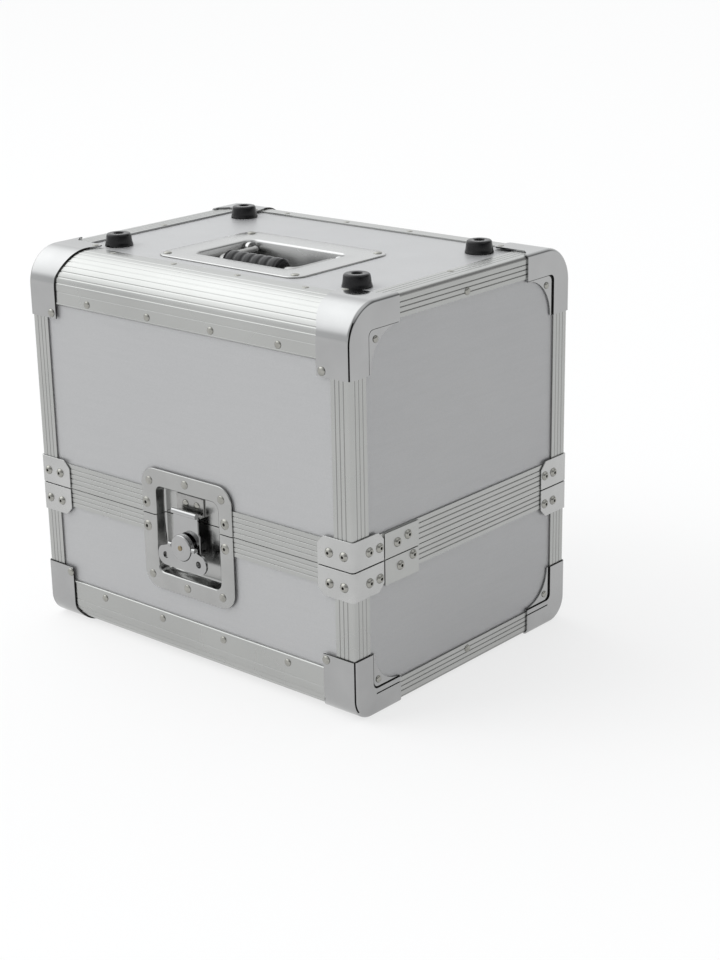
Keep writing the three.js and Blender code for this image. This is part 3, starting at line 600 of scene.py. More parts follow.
def corner_block(radius, reach, side_round, length):
    """A block that fills a corner of the case, with its outer side edge rounded."""
    def ring(x, inset):
        low = inset - reach
        points = [(length, length), (low, length)]
        points += arc(radius, radius, radius - low, math.pi, 1.5 * math.pi, ARC_STEPS)
        points += [(length, low)]
        return [(x, y, z) for y, z in points]

    rings = []
    for i in range(ROUND_STEPS + 1):
        turn = math.pi / 2 * i / ROUND_STEPS
        rings.append(ring(
            side_round * (1 - math.cos(turn)) - reach, side_round * (1 - math.sin(turn)),
        ))
    rings.append(ring(length, 0))
    work = bmesh.new()
    ring_loft(work, rings)
    return from_work("corner_block", work)


def flat_outline(radius, rear):
    """The flat plate seen square on, with the tab for its rivet."""
    skin = 2 * CAP_ROUND
    near = CAP_TAB - CAP_TAB_HALF
    tab_start = CAP_REAR - 3 * CAP_TAB_HALF
    curve = bent_points(
        (CAP_BAND, 0), (CAP_BAND + CAP_TAB_BEND_SHARE * (near - CAP_BAND), radius / 6),
        (near, radius / 3), (near + CAP_TAB_HALF / 2, tab_start), 14,
    )
    end = arc(near, CAP_REAR - CAP_TAB_HALF, CAP_TAB_HALF, 0, math.pi / 2, 8)
    return (
        [(-skin, -skin), (CAP_BAND, -skin)] + curve + end
        + [(CAP_REAR_CORNER, CAP_REAR), (0, rear), (-skin, rear)]
    )


def brighten_level_edges(cap_piece, radius, rear):
    """Leaves the cut edges dark, as painted shade beside the proud cap, along the curve only: those on
    the flat and at the rear are bright.
    """
    for face in cap_piece.data.polygons:
        spot = face.center
        on_flat = spot.y > radius and spot.z < CAP_ROUND
        at_rear = spot.y > rear - CAP_EDGE_ROUND and spot.x < CAP_REAR_CORNER
        if on_flat or at_rear:
            face.material_index = 0


def pressed_corner(cap):
    """One cap as a mesh in corner coordinates."""
    radius, front, rear, arm = cap["radius"], cap["front"], cap["rear"], cap["arm"]
    length = max(front, rear) + 2 * OVERRUN
    skin = 2 * CAP_ROUND
    shell = combine(
        corner_block(radius, PLATE, CAP_ROUND, length),
        corner_block(radius, SEAT, CAP_ROUND - SHEET, length + OVERRUN), "DIFFERENCE",
    )
    inner_round = arc(
        arm + WEB_ROUND, CAP_ARM + WEB_ROUND, WEB_ROUND, 1.5 * math.pi, math.pi, 8,
    )

    def arms(start, upright=0, level=0):
        return (
            [(start, start), (rear, start), (rear, CAP_ARM + level)]
            + [(a + upright, b + level) for a, b in inner_round]
            + [(arm + upright, front), (start, front)]
        )

    band = prism(rectangle(-skin, radius, min(arm, radius), front), "x", -skin, CAP_BAND)
    side = prism(arms(-skin), "x", -skin, CAP_ROUND)
    flat = combine(
        prism(flat_outline(radius, rear), "z", -skin, radius),
        prism(rectangle(arm, CAP_ARM, length, length), "x", -2 * skin, CAP_ROUND), "DIFFERENCE",
    )
    outline = combine(combine(band, side, "UNION"), flat, "UNION")
    # The cut edges of the cap come from the outline and take its dark slot: dark edges, partly painted
    # shade beside the proud cap
    cap_piece = combine(two_slots(shell), two_slots(outline, 1), "INTERSECT")
    edge = oval(
        rear, front, rear - arm - WEB_LAND_FRONT, front - CAP_ARM - WEB_LAND_REAR,
        1.5 * math.pi, math.pi, 24,
    )
    web = prism(
        [(WEB_START, WEB_START), (rear, WEB_START)] + edge + [(WEB_START, front)],
        "x", WEB_OUT, WEB_OUT + SHEET,
    )
    # The walls of the step and a thin strip beside the arms are in the dark slot: painted shade where
    # the web sinks below the arms
    step = prism(arms(WEB_START), "x", -SEAT - SHEET / 2, WEB_OUT + SHEET / 2)
    painted_crease_shade = prism(
        arms(WEB_START, CREASE_SHADE_UPRIGHT, CREASE_SHADE_LEVEL),
        "x", WEB_OUT - CREASE_SHADE_RISE, WEB_OUT + SHEET / 2,
    )
    for part, slot in ((web, 0), (painted_crease_shade, 1), (step, 1)):
        combine(cap_piece, two_slots(part, slot), "UNION")
    # The walls of the slit are in the dark slot: painted shade
    if cap["slit"]:
        low = cap["slit"] - SLIT_WIDTH / 2
        cutter = prism(
            rectangle(SLIT_START, low, rear + OVERRUN, low + SLIT_WIDTH), "x", -skin, CAP_ROUND,
        )
        combine(cap_piece, two_slots(cutter, 1), "DIFFERENCE")
    # The walls of the seam between the band and the side are in the dark slot: painted shade
    seam_end = math.pi + SEAM_TURN
    outer = radius + skin
    inner = radius + PLATE - SEAM_WIDTH
    seam = prism(
        [(-skin, front + OVERRUN)] + arc(radius, radius, outer, math.pi, seam_end, 10)
        + arc(radius, radius, inner, seam_end, math.pi, 10) + [(radius - inner, front + OVERRUN)],
        "x", -skin, SEAM_DEPTH - PLATE,
    )
    combine(cap_piece, two_slots(seam, 1), "DIFFERENCE")
    rounded(cap_piece, CAP_EDGE_ROUND, 2, CAP_BEVEL_ANGLE)
    brighten_level_edges(cap_piece, radius, rear)
    return cap_piece


def add_corners():
    """The eight pressed corners, from one pattern for each half."""
    for half, (level, inward) in HALF_FACES.items():
        pattern = pressed_corner(CAPS[half])
        for name, (sign_x, sign_y) in CORNER_SIDES.items():
            node = f"{half}_{name}_corner"
            mesh = pattern.data.copy()
            place = Matrix.Translation((sign_x * SIDE_X, sign_y * SIDE_Y, level))
            mesh.transform(place @ Matrix.Diagonal((-sign_x, -sign_y, inward, 1)))
            if sign_x * sign_y * inward < 0:
                mesh.flip_normals()
            piece = link(node + "_dressed", mesh)
            even_shading(piece, CRISP_ANGLE, EVEN_WEIGHT)
            dress(piece, "chrome", body_of(node), "chrome", node)
        bpy.data.objects.remove(pattern)


# Rounded edge profiles

RIB_DEPTH = 0.38 * MM
RIB_HALF = 0.6 * MM
BEAD = 0.6 * MM
BEAD_WIDTH = 2.4 * MM
BEAD_SLOPE_SHARE = 0.35
LINE_PLACE = 2 * MM
LINE_WIDTH = 1.1 * MM
LINE_DEPTH = 0.5 * MM
INNER = 10.3 * MM
STEPS_PER_GROOVE = 16
PROFILE_BEVEL_ANGLE = math.radians(60)
EDGES = {
    "lid": {"radius": 32 * MM, "front": 46.5 * MM, "flat": 40.5 * MM, "grooves": 8},
    "base": {"radius": 20 * MM, "front": 41.3 * MM, "flat": 30 * MM, "grooves": 5},
}


def ribbed_arc(radius, grooves):
    """The outer curve of a rounded profile, from its front leg to its flat leg, with grooves."""
    points = []
    steps = grooves * STEPS_PER_GROOVE
    for i in range(steps + 1):
        share = i / steps
        angle = math.pi + math.pi / 2 * share
        along = share * (grooves + 1)
        off = abs(along - round(along)) * radius * math.pi / 2 / (grooves + 1)
        inside = 0.5 < along < grooves + 0.5 and off < RIB_HALF
        depth = RIB_DEPTH * 0.5 * (1 + math.cos(math.pi * off / RIB_HALF)) if inside else 0
        points.append((
            radius + (radius - depth) * math.cos(angle), radius + (radius - depth) * math.sin(angle),
        ))
    return points


def front_leg(radius, front):
    """The face of a profile's front leg: a bead along its edge and one line near its curve."""
    line = radius + LINE_PLACE
    return [
        (0, front), (-BEAD, front - BEAD_SLOPE_SHARE * BEAD_WIDTH),
        (-BEAD, front - (1 - BEAD_SLOPE_SHARE) * BEAD_WIDTH),
        (0, front - BEAD_WIDTH), (0, line + LINE_WIDTH), (LINE_DEPTH, line + LINE_WIDTH / 2),
        (0, line),
    ]


def add_edge_profiles():
    """The rounded profiles along the front and the back of each half."""
    for half, (level, inward) in HALF_FACES.items():
        edge = EDGES[half]
        radius, front, flat = edge["radius"], edge["front"], edge["flat"]
        section = (
            front_leg(radius, front) + ribbed_arc(radius, edge["grooves"])
            + [(flat, 0), (flat, FLANGE)]
            + [(radius, FLANGE), (radius, INNER - FLANGE), (flat, INNER - FLANGE), (flat, INNER)]
            + arc(radius, radius, radius - INNER, 1.5 * math.pi, math.pi, 12)
            + [(INNER, front), (INNER - FLANGE, front), (INNER - FLANGE, radius)]
            + [(FLANGE, radius), (FLANGE, front)]
        )
        for side, sign_y in (("front", -1), ("back", 1)):
            node = f"{half}_{side}_edge_profile"
            low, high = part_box(node)
            points = [(sign_y * (SIDE_Y - a), level + inward * b) for a, b in section]
            piece = prism(points, "x", low[0], high[0])
            piece.name = node + "_dressed"
            rounded(piece, FINE_ROUND, 1, PROFILE_BEVEL_ANGLE)
            dress(piece, "profile_x", body_of(node), "profile", node)


# Rivets

RIVET_SINK = 0.4 * MM
RIVET_SIDES = 24
FLANGE_RIVET = (3.4 * MM, 1.6 * MM)
FLAT_RIVET = (3.0 * MM, 0.7 * MM)
CAP_RIVET = (3.9 * MM, 1.9 * MM)
WEB_RIVET = (3.1 * MM, 1.7 * MM)
RIM_RIVET = (3.9 * MM, 1.5 * MM)
TUBE_RIVET = (4.3 * MM, 2.2 * MM, 1.3 * MM)
RIM_TUBE_RIVET = (4.9 * MM, 1.4 * MM, 1.5 * MM)
STRIKE_RIVET = (3.5 * MM, 1.4 * MM)
DOME_RIM_SHARE = 0.12
TUBE_RIM_SHARE = 0.1
TUBE_ROLL_SHARE = 0.66
HOLE_WALL_SHARES = (0.85, 0.3)
HOLE_FOOT_SHARE = 0.8
HOLE_FLOOR = 0.1 * MM

# Places of the rivets, in from the faces of the case or off the middle of the split
FLANGE_RIVET_X = [x * MM for x in (-116, -38.8, 38.4, 115.6)]
FLANGE_RIVET_DROP = {"lid": 41 * MM, "base": 33.5 * MM}
LEVEL_RIVET_INSET = {"lid": 35 * MM, "base": 25 * MM}
SIDE_RIVET_Y = 3 * MM
SIDE_RIVET_DROP = 15 * MM
SIDE_RIVET_INSET = 18 * MM
TAB_RIVET_INSETS = (41 * MM, 44.5 * MM)
CAP_RIVET_PLACE = {"lid": (27.7 * MM, 54.8 * MM), "base": (30.2 * MM, 49.3 * MM)}
WEB_RIVET_PLACE = {"lid": (32.6 * MM, 31.3 * MM), "base": (29.8 * MM, 29.5 * MM)}
BRACKET_RIVET_RISE = {"lid": 12.9 * MM, "base": -14.2 * MM}
BRACKET_FRONT_INSETS = (8.5 * MM, 24.5 * MM)
BRACKET_SIDE_INSETS = (19.5 * MM, 32.5 * MM)
PLATE_RIVET_PLACES = {
    "lid": in_metres((55.5, 11.3), (69.4, 14.3)), "base": in_metres((59, -10.3), (75.8, -5.5)),
}
RIM_RIVET_PLACES = {
    "lid": in_metres((-45.6, 31.3), (-0.4, 36.1), (44, 31.9)),
    "base": in_metres((-46.8, -57.7), (-2.5, -61.9), (41.4, -59.3)),
}
RIM_TUBE_PLACES = {
    "lid": in_metres((-50.3, 10.1), (47.4, 10.3)), "base": in_metres((-50, -12.3), (46.5, -12.6)),
}


def bar_points(radius, low, high):
    """A plain round bar."""
    return [(0, low), (radius, low), (radius, high), (0, high)]


def dome_points(radius, height):
    """A solid rivet head: a low dome with a short straight rim."""
    points = [(0, -RIVET_SINK), (radius, -RIVET_SINK), (radius, DOME_RIM_SHARE * height)]
    steps = 7
    for i in range(1, steps):
        angle = math.pi / 2 * i / steps
        rise = DOME_RIM_SHARE + (1 - DOME_RIM_SHARE) * math.sin(angle)
        points.append((radius * math.cos(angle), height * rise))
    return points + [(0, height)]


def tube_points(radius, height, hole):
    """A tubular rivet head: a rolled dome that falls into a hole in its middle."""
    points = [(0, -RIVET_SINK), (radius, -RIVET_SINK), (radius, TUBE_RIM_SHARE * height)]
    steps = 8
    for i in range(1, steps + 1):
        share = i / steps
        rise = TUBE_RIM_SHARE + (1 - TUBE_RIM_SHARE) * math.sin(math.pi * TUBE_ROLL_SHARE * share)
        points.append((radius + (hole - radius) * share, height * rise))
    points.append((hole * HOLE_WALL_SHARES[0], height * HOLE_WALL_SHARES[1]))
    return points + [(hole * HOLE_FOOT_SHARE, -RIVET_SINK / 2), (0, -RIVET_SINK / 2)]


def add_rivets(name, body, spots, points):
    """All rivets of one kind on one body, each at (place, outward direction)."""
    add_turned(name, spots, points, RIVET_SIDES, "rivet", body, "steel")


def add_tube_rivets(name, body, spots, size):
    """Tubular rivets, with black discs painted as shade at the bottoms of their holes."""
    add_rivets(name, body, spots, tube_points(*size))
    bottom = bar_points(size[2], -RIVET_SINK, HOLE_FLOOR)
    add_turned(name + "_painted_hole_shade", spots, bottom, 16, "hole", body, "rubber")


def upright_flange_rivets(half):
    """Rivets in the vertical legs of the edge profiles."""
    level, inward = HALF_FACES[half]
    side_z = level + inward * SIDE_RIVET_DROP
    spots = []
    for sign in SIGNS:
        for x in FLANGE_RIVET_X:
            z = level + inward * FLANGE_RIVET_DROP[half]
            spots.append(((x, sign * SIDE_Y, z), (0, sign, 0)))
        spots.append(((sign * SIDE_X, SIDE_RIVET_Y, side_z), (sign, 0, 0)))
    return spots


def level_flange_rivets(half):
    """Flat rivets in the level legs of the edge profiles and the tabs of the top corners."""
    level, inward = HALF_FACES[half]
    out = (0, 0, -inward)
    spots = []
    for sign in SIGNS:
        y = sign * (SIDE_Y - LEVEL_RIVET_INSET[half])
        spots += [((x, y, level), out) for x in FLANGE_RIVET_X]
        spots.append(((sign * (SIDE_X - SIDE_RIVET_INSET), SIDE_RIVET_Y, level), out))
        if half == "lid":
            x = sign * (SIDE_X - TAB_RIVET_INSETS[0])
            y = SIDE_Y - TAB_RIVET_INSETS[1]
            spots += [((x, side * y, level + PLATE), out) for side in SIGNS]
    return spots


def cap_rivets(half):
    """A rivet in the front or back face of each pressed corner."""
    level, inward = HALF_FACES[half]
    inset, drop = CAP_RIVET_PLACE[half]
    return [
        ((x * (SIDE_X - inset), y * (SIDE_Y + PLATE), level + inward * drop), (0, y, 0))
        for x, y in CORNER_SIGNS
    ]


def web_rivets(half):
    """Rivets in the sunk webs of the pressed corners, on the sides of the case."""
    level, inward = HALF_FACES[half]
    inset, drop = WEB_RIVET_PLACE[half]
    return [
        ((x * (SIDE_X - WEB_OUT), y * (SIDE_Y - inset), level + inward * drop), (x, 0, 0))
        for x, y in CORNER_SIGNS
    ]


def bracket_rivets(half):
    """Tubular rivets in both legs of the brackets."""
    z = SPLIT + BRACKET_RIVET_RISE[half]
    spots = []
    for x, y in CORNER_SIGNS:
        for inset in BRACKET_FRONT_INSETS:
            spots.append(((x * (SIDE_X - inset), y * (SIDE_Y + PLATE), z), (0, y, 0)))
        for inset in BRACKET_SIDE_INSETS:
            spots.append(((x * (SIDE_X + PLATE), y * (SIDE_Y - inset), z), (x, 0, 0)))
    return spots


def plate_rivets(half):
    """Tubular rivets in the joint plates beside the front brackets."""
    return [
        ((sign * (SIDE_X + PLATE), inset - SIDE_Y, SPLIT + height), (sign, 0, 0))
        for sign in SIGNS for inset, height in PLATE_RIVET_PLACES[half]
    ]


def latch_rivets(places):
    """Rivets in the rim of the latch's trays."""
    return [((x, -SIDE_Y - PLATE, SPLIT + z), (0, -1, 0)) for x, z in places]


def add_all_rivets():
    """The rivets of the profiles, corners, brackets and latch trays, one half after the other."""
    for half in HALF_FACES:
        for name, spots, size in (
            ("flange_rivets", upright_flange_rivets(half), FLANGE_RIVET),
            ("level_rivets", level_flange_rivets(half), FLAT_RIVET),
            ("corner_rivets", cap_rivets(half), CAP_RIVET),
            ("web_rivets", web_rivets(half), WEB_RIVET),
            ("latch_rim_rivets", latch_rivets(RIM_RIVET_PLACES[half]), RIM_RIVET),
        ):
            add_rivets(f"{half}_{name}", half, spots, dome_points(*size))
        for name, spots, size in (
            ("bracket_rivets", bracket_rivets(half), TUBE_RIVET),
            ("joint_plate_rivets", plate_rivets(half), TUBE_RIVET),
            ("latch_side_rivets", latch_rivets(RIM_TUBE_PLACES[half]), RIM_TUBE_RIVET),
        ):
            add_tube_rivets(f"{half}_{name}", half, spots, size)


# Pressed trays

TRAY_STEPS = 10
TRAY_ROUND = 0.9 * MM
TRAY_ROUND_SHARES = ((0, 1), (0.13, 0.5), (0.5, 0.13), (1, 0))
TRAY_LIP = in_metres((2.4, 0), (1.3, 0.25), (0.5, 0.8), (0, 2))
TRAY_FLOOR_ROUND = in_metres((0.3, 2.5), (0.9, 0.9), (1.8, 0.2), (3.2, 0))
TRAY_BACK_GAP = 0.01 * MM


def tray_mesh(rim, hole, depth, back, place):
    """A pressed tray: the back of its rim, its face and its floor, and then its skin behind.

    rim and hole are (half width, half height, corner radius, centre). Depths
    run in from the face that carries the rim.
    """
    def at(outline, grow, level):
        half_a, half_b, radius, centre = outline
        ring = rounded_rectangle(half_a + grow, half_b + grow, radius + grow, centre, TRAY_STEPS)
        return [place(a, b, level) for a, b in ring]

    face = back - SHEET
    front = [at(rim, -SHEET, back), at(rim, 0, back)]
    front += [at(rim, -a * TRAY_ROUND, face + b * TRAY_ROUND) for a, b in TRAY_ROUND_SHARES]
    front += [at(hole, a, face + b) for a, b in TRAY_LIP]
    front += [at(hole, -a, depth - b) for a, b in TRAY_FLOOR_ROUND]
    behind = [
        at(hole, -TRAY_FLOOR_ROUND[-1][0], depth + SHEET), at(hole, SHEET / 2, depth + SHEET),
        at(hole, SHEET, depth), at(hole, SHEET, back + TRAY_BACK_GAP),
    ]
    work = bmesh.new()
    shown = ring_loft(work, front, False)
    work.faces.new(shown[-1])
    hidden = ring_loft(work, behind, False)
    work.faces.new(hidden[0])
    count = len(shown[0])
    for i in range(count):
        k = (i + 1) % count
        work.faces.new((hidden[-1][i], shown[0][i], shown[0][k], hidden[-1][k]))
    bmesh.ops.recalc_face_normals(work, faces=work.faces)
    return work


def cut_work(work, point, normal):
    """Keeps the side of a plane that its normal points away from, and closes the cut."""
    everything = work.verts[:] + work.edges[:] + work.faces[:]
    made = bmesh.ops.bisect_plane(
        work, geom=everything, plane_co=point, plane_no=normal, clear_outer=True,
    )
    edges = [item for item in made["geom_cut"] if isinstance(item, bmesh.types.BMEdge)]
    bmesh.ops.edgeloop_fill(work, edges=edges)


LATCH_SHIFT = -5 * MM
LATCH_RIM_HALF = 55.75 * MM
LATCH_RIM_CORNER = 16 * MM
LATCH_HOLE_HALF = 39 * MM
LATCH_HOLE_CORNER = 7 * MM
LATCH_HOLE_LOW = SPLIT - 53.3 * MM
LATCH_HOLE_HIGH = SPLIT + 27 * MM
LATCH_DEPTH = 10 * MM
JOINT_GAP = 0.45 * MM


def add_latch_trays():
    """The recess of the latch: one tray, cut at the split into a base and a lid half."""
    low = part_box("latch_base_tray")[0][2]
    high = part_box("latch_lid_tray")[1][2]
    rim = (LATCH_RIM_HALF, (high - low) / 2, LATCH_RIM_CORNER, (0, (low + high) / 2))
    hole = (
        LATCH_HOLE_HALF, (LATCH_HOLE_HIGH - LATCH_HOLE_LOW) / 2, LATCH_HOLE_CORNER,
        (0, (LATCH_HOLE_LOW + LATCH_HOLE_HIGH) / 2),
    )

    def place(a, b, level):
        return (a, -SIDE_Y + level, b)

    for half, sign in (("base", 1), ("lid", -1)):
        work = tray_mesh(rim, hole, LATCH_DEPTH, -SEAT, place)
        cut_work(work, (0, 0, SPLIT - sign * JOINT_GAP), (0, 0, sign))
        node = f"latch_{half}_tray"
        mesh_piece(node + "_dressed", work, "dish", body_of(node), "chrome", (node,), CRISP_ANGLE)


# Latch parts. Outlines of the hub are (in from its radius, height), and those of
# its face and of the peg are (radius, height).

HUB_RADIUS = 12 * MM
HUB_BACK = in_metres((0.4, 0.2), (0, 0.6))
HUB_GROOVE = 0.4 * MM
HUB_GROOVES = (1.5 * MM, 3.2 * MM)
HUB_SHOULDER = in_metres((0, 5), (0.25, 5.5), (0.8, 5.85), (1.6, 6))
HUB_FACE = in_metres((6.2, 6), (5.6, 5.75), (4.6, 5.75), (4.2, 5.9), (0, 5.9))
PEG = in_metres((0, 5), (2.4, 5), (2.4, 6.5), (2.1, 6.8), (0, 6.8))
NECK_RADIUS = 4.6 * MM
NECK_LENGTH = 11 * MM
NECK_FRONT = 0.3 * MM
PIN_RADIUS = 1.4 * MM
WING_LOBE_SPREAD = 20.6 * MM
WING_LOBE_DROP = 11.3 * MM
WING_LOBE_RADIUS = 9.5 * MM
WING_LOBE_TURN = 0.8 * math.pi
WING_HOLE_RADIUS = 3.2 * MM
WING_FRONT = 4.3 * MM
WING_BACK = 1.8 * MM
WING_TOP_SHARE = 0.9
WING_SHOULDER_OUT = 2 * MM
WING_SHOULDER_DROP = 0.5 * MM
YOKE = 12.6 * MM
YOKE_RISE = 0.06 * math.pi
KNUCKLE = 2.4 * MM
KNUCKLE_OUT = 1.5 * MM
SPINDLE_Z = SPLIT - 22.6 * MM
PIN_Y = -SIDE_Y - (WING_FRONT + WING_BACK) / 2
STRIKE_RIVET_X = (-10.5 * MM, 3.6 * MM)
STRIKE_RIVET_RISE = 14.5 * MM


def add_wing():
    """The butterfly wing: a plate with two lobes, two holes and two knuckles."""
    left = LATCH_SHIFT - WING_LOBE_SPREAD
    right = LATCH_SHIFT + WING_LOBE_SPREAD
    lobe_z = SPINDLE_Z - WING_LOBE_DROP
    down = 1.5 * math.pi
    waist = YOKE + KNUCKLE
    shoulder = waist + WING_SHOULDER_OUT
    top = SPINDLE_Z + KNUCKLE * WING_TOP_SHARE
    bend = SPINDLE_Z - WING_SHOULDER_DROP
    outline = (
        [(LATCH_SHIFT - waist, top), (LATCH_SHIFT - shoulder, bend)]
        + arc(left, lobe_z, WING_LOBE_RADIUS, down - WING_LOBE_TURN, down, 20)
        + arc(right, lobe_z, WING_LOBE_RADIUS, down, down + WING_LOBE_TURN, 20)
        + [(LATCH_SHIFT + shoulder, bend), (LATCH_SHIFT + waist, top)]
        + arc(LATCH_SHIFT, SPINDLE_Z, YOKE, YOKE_RISE, -math.pi - YOKE_RISE, 36)
    )
    plate = prism(outline, "y", -SIDE_Y - WING_FRONT, -SIDE_Y - WING_BACK)
    for x in (left, right):
        hole = prism(
            circle(x, lobe_z, WING_HOLE_RADIUS, 28),
            "y", -SIDE_Y - WING_FRONT - OVERRUN, -SIDE_Y - WING_BACK + OVERRUN,
        )
        combine(plate, hole, "DIFFERENCE")
    for sign in SIGNS:
        ends = sorted((LATCH_SHIFT + sign * YOKE, LATCH_SHIFT + sign * (waist + KNUCKLE_OUT)))
        combine(plate, prism(circle(PIN_Y, SPINDLE_Z, KNUCKLE, 24), "x", *ends), "UNION")
    plate.name = "latch_wing_dressed"
    rounded(plate, SOFT_ROUND, 2, SOFT_ANGLE)
    dress(plate, "chrome", body_of("latch_wing"), "chrome", "latch_wing")


def add_spindle():
    """The round head with its chamfer, the cross pin stubs and the neck behind it."""
    body = body_of("latch_spindle")
    centre = Vector((LATCH_SHIFT, -SIDE_Y, SPINDLE_Z))
    out = (0, -1, 0)
    head = [(0, HUB_BACK[0][1])] + [(HUB_RADIUS - inset, up) for inset, up in HUB_BACK]
    for start in HUB_GROOVES:
        head += [
            (HUB_RADIUS, start), (HUB_RADIUS - HUB_GROOVE, start + 0.5 * HUB_GROOVE),
            (HUB_RADIUS - HUB_GROOVE, start + HUB_GROOVE), (HUB_RADIUS, start + 1.5 * HUB_GROOVE),
        ]
    head += [(HUB_RADIUS - inset, up) for inset, up in HUB_SHOULDER] + HUB_FACE
    work = bmesh.new()
    lathe(work, head, centre, facing(out), 64)
    lathe(work, bar_points(NECK_RADIUS, -NECK_LENGTH, NECK_FRONT), centre, facing(out), 32)
    reach = YOKE + KNUCKLE
    pin = Vector((LATCH_SHIFT, PIN_Y, SPINDLE_Z))
    lathe(work, bar_points(PIN_RADIUS, -reach, reach), pin, facing((1, 0, 0)), 20)
    mesh_piece(
        "latch_spindle_dressed", work, "chrome", body, "chrome", ("latch_spindle",), CRISP_ANGLE,
    )
    add_turned(
        "spindle_centre_peg", [(centre, out)], PEG, 28, "brass", body, "steel", (), CRISP_ANGLE,
    )


def add_strike_rivets():
    """The two rivets of the strike."""
    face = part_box("latch_strike")[1][1] - SHEET
    spots = [((x, face, SPLIT + STRIKE_RIVET_RISE), (0, -1, 0)) for x in STRIKE_RIVET_X]
    add_rivets("strike_rivets", "lid", spots, dome_points(*STRIKE_RIVET))


# Feet and handle. Outlines of a foot are (in from its radius or radius, up from its
# base or down from its top), and that of the grip's end is (in, along).

UP = (0, 0, 1)
FOOT_LOW = in_metres((0.3, 0), (0, 0.3), (0.1, 1), (0.5, 2), (0.9, 4))
FOOT_HIGH = in_metres((1.6, 1.8), (2, 0.9), (2.7, 0.25), (3.8, 0))
FOOT_RECESS = in_metres((5.2, 0), (4.7, 0.3), (4.5, 1), (4.4, 4.5))
FOOT_SCREW = (3.6 * MM, 1.5 * MM)
WELL_RIM = (86 * MM, 63 * MM, 14 * MM)
WELL_HOLE = (59 * MM, 37.5 * MM, 9 * MM)
WELL_SHIFT = -2.5 * MM
WELL_DEPTH = 24 * MM
WELL_RIVETS = (77 * MM, 54 * MM)
EAR_INNER = 52.3 * MM
EAR_OUTER = 56.3 * MM
EAR_RADIUS = 6.5 * MM
EAR_FOOT = 7.5 * MM
EAR_ROUND = 0.4 * MM
BAIL_HALF = 46 * MM
BAIL_REACH = 50 * MM
BAIL_CORNER = 9 * MM
BAIL_BEND = 6 * MM
BAIL_END = 6 * MM
GRIP_PLAY = 0.1 * MM
GRIP_END = in_metres((2.6, 0), (1.1, 0.5), (0.3, 1.6))
GRIP_PLAIN = 2.6 * MM
GRIP_RIBS = 6
GRIP_DIP = 0.9 * MM

WELL_LOW, WELL_HIGH = corners_of("handle_well")
WELL_MIDDLE = (WELL_LOW.y + WELL_HIGH.y) / 2
BAIL_LOW, BAIL_HIGH = corners_of("handle_bail")
ROD = (BAIL_HIGH.z - BAIL_LOW.z) / 2
BAIL_Y = BAIL_HIGH.y - ROD
BAIL_Z = (BAIL_HIGH.z + BAIL_LOW.z) / 2


def add_feet():
    """The rubber feet, each with a screw in its recess."""
    for name in CORNER_SIDES:
        node = f"{name}_foot"
        low, high = corners_of(node)
        x = (low.x + high.x) / 2
        y = (low.y + high.y) / 2
        base = (high.x - low.x) / 2
        height = high.z - low.z
        floor = height - FOOT_RECESS[-1][1]
        points = [(0, 0)] + [(base - inset, up) for inset, up in FOOT_LOW]
        points += [(base - inset, height - down) for inset, down in FOOT_HIGH]
        points += [(radius, height - down) for radius, down in FOOT_RECESS] + [(0, floor)]
        add_turned(
            node + "_dressed", [((x, y, low.z), UP)], points, 48,
            "rubber", "lid", "rubber", (node,), SOFT_ANGLE,
        )
        add_turned(
            f"{name}_foot_screw", [((x, y, low.z + floor), UP)], dome_points(*FOOT_SCREW), 28,
            "steel", "lid", "steel", (), SOFT_ANGLE,
        )


def add_well():
    """The pressed well that the handle lies in."""
    def place(a, b, level):
        return (a, b, BODY_TOP - level)

    rim = (*WELL_RIM, (0, WELL_MIDDLE))
    hole = (*WELL_HOLE, (0, WELL_MIDDLE + WELL_SHIFT))
    work = tray_mesh(rim, hole, WELL_DEPTH, BODY_TOP - WELL_HIGH.z + SHEET, place)
    mesh_piece("handle_well_dressed", work, "plate", "lid", "chrome", ("handle_well",), CRISP_ANGLE)


def add_ears():
    """The two ears in the well that hold the ends of the bail."""
    base = BODY_TOP - WELL_DEPTH
    outline = [(BAIL_Y - EAR_FOOT, base)] + arc(BAIL_Y, BAIL_Z, EAR_RADIUS, math.pi, 0, 16)
    outline += [(BAIL_Y + EAR_RADIUS, base)]
    for name, sign in (("left", -1), ("right", 1)):
        ear = prism(outline, "x", *sorted((sign * EAR_INNER, sign * EAR_OUTER)))
        ear.name = f"handle_ear_{name}"
        rounded(ear, EAR_ROUND)
        dress(ear, "plate", "lid", "chrome")


def add_bail():
    """The steel bail: a round rod from one ear along its arms to the other."""
    end = BAIL_HALF + BAIL_BEND
    bend_y = BAIL_Y - BAIL_BEND
    arm = BAIL_HALF - BAIL_CORNER
    arm_y = BAIL_Y - BAIL_REACH + BAIL_CORNER
    path = (
        [(-end - BAIL_END, BAIL_Y)]
        + arc(-end, bend_y, BAIL_BEND, math.pi / 2, 0, 8)
        + arc(-arm, arm_y, BAIL_CORNER, math.pi, 1.5 * math.pi, 10)
        + arc(arm, arm_y, BAIL_CORNER, 1.5 * math.pi, 2 * math.pi, 10)
        + arc(end, bend_y, BAIL_BEND, math.pi, math.pi / 2, 8)
        + [(end + BAIL_END, BAIL_Y)]
    )
    rings = []
    for i, (x, y) in enumerate(path):
        before = Vector(path[max(i - 1, 0)])
        after = Vector(path[min(i + 1, len(path) - 1)])
        along = (after - before).normalized()
        across = Vector((along.y, -along.x, 0))
        centre = Vector((x, y, BAIL_Z))
        rings.append([centre + across * a + Vector((0, 0, b)) for a, b in circle(0, 0, ROD, 20)])
    work = bmesh.new()
    ring_loft(work, rings)
    mesh_piece(
        "handle_bail_dressed", work, "steel", body_of("handle_bail"), "steel", ("handle_bail",),
    )


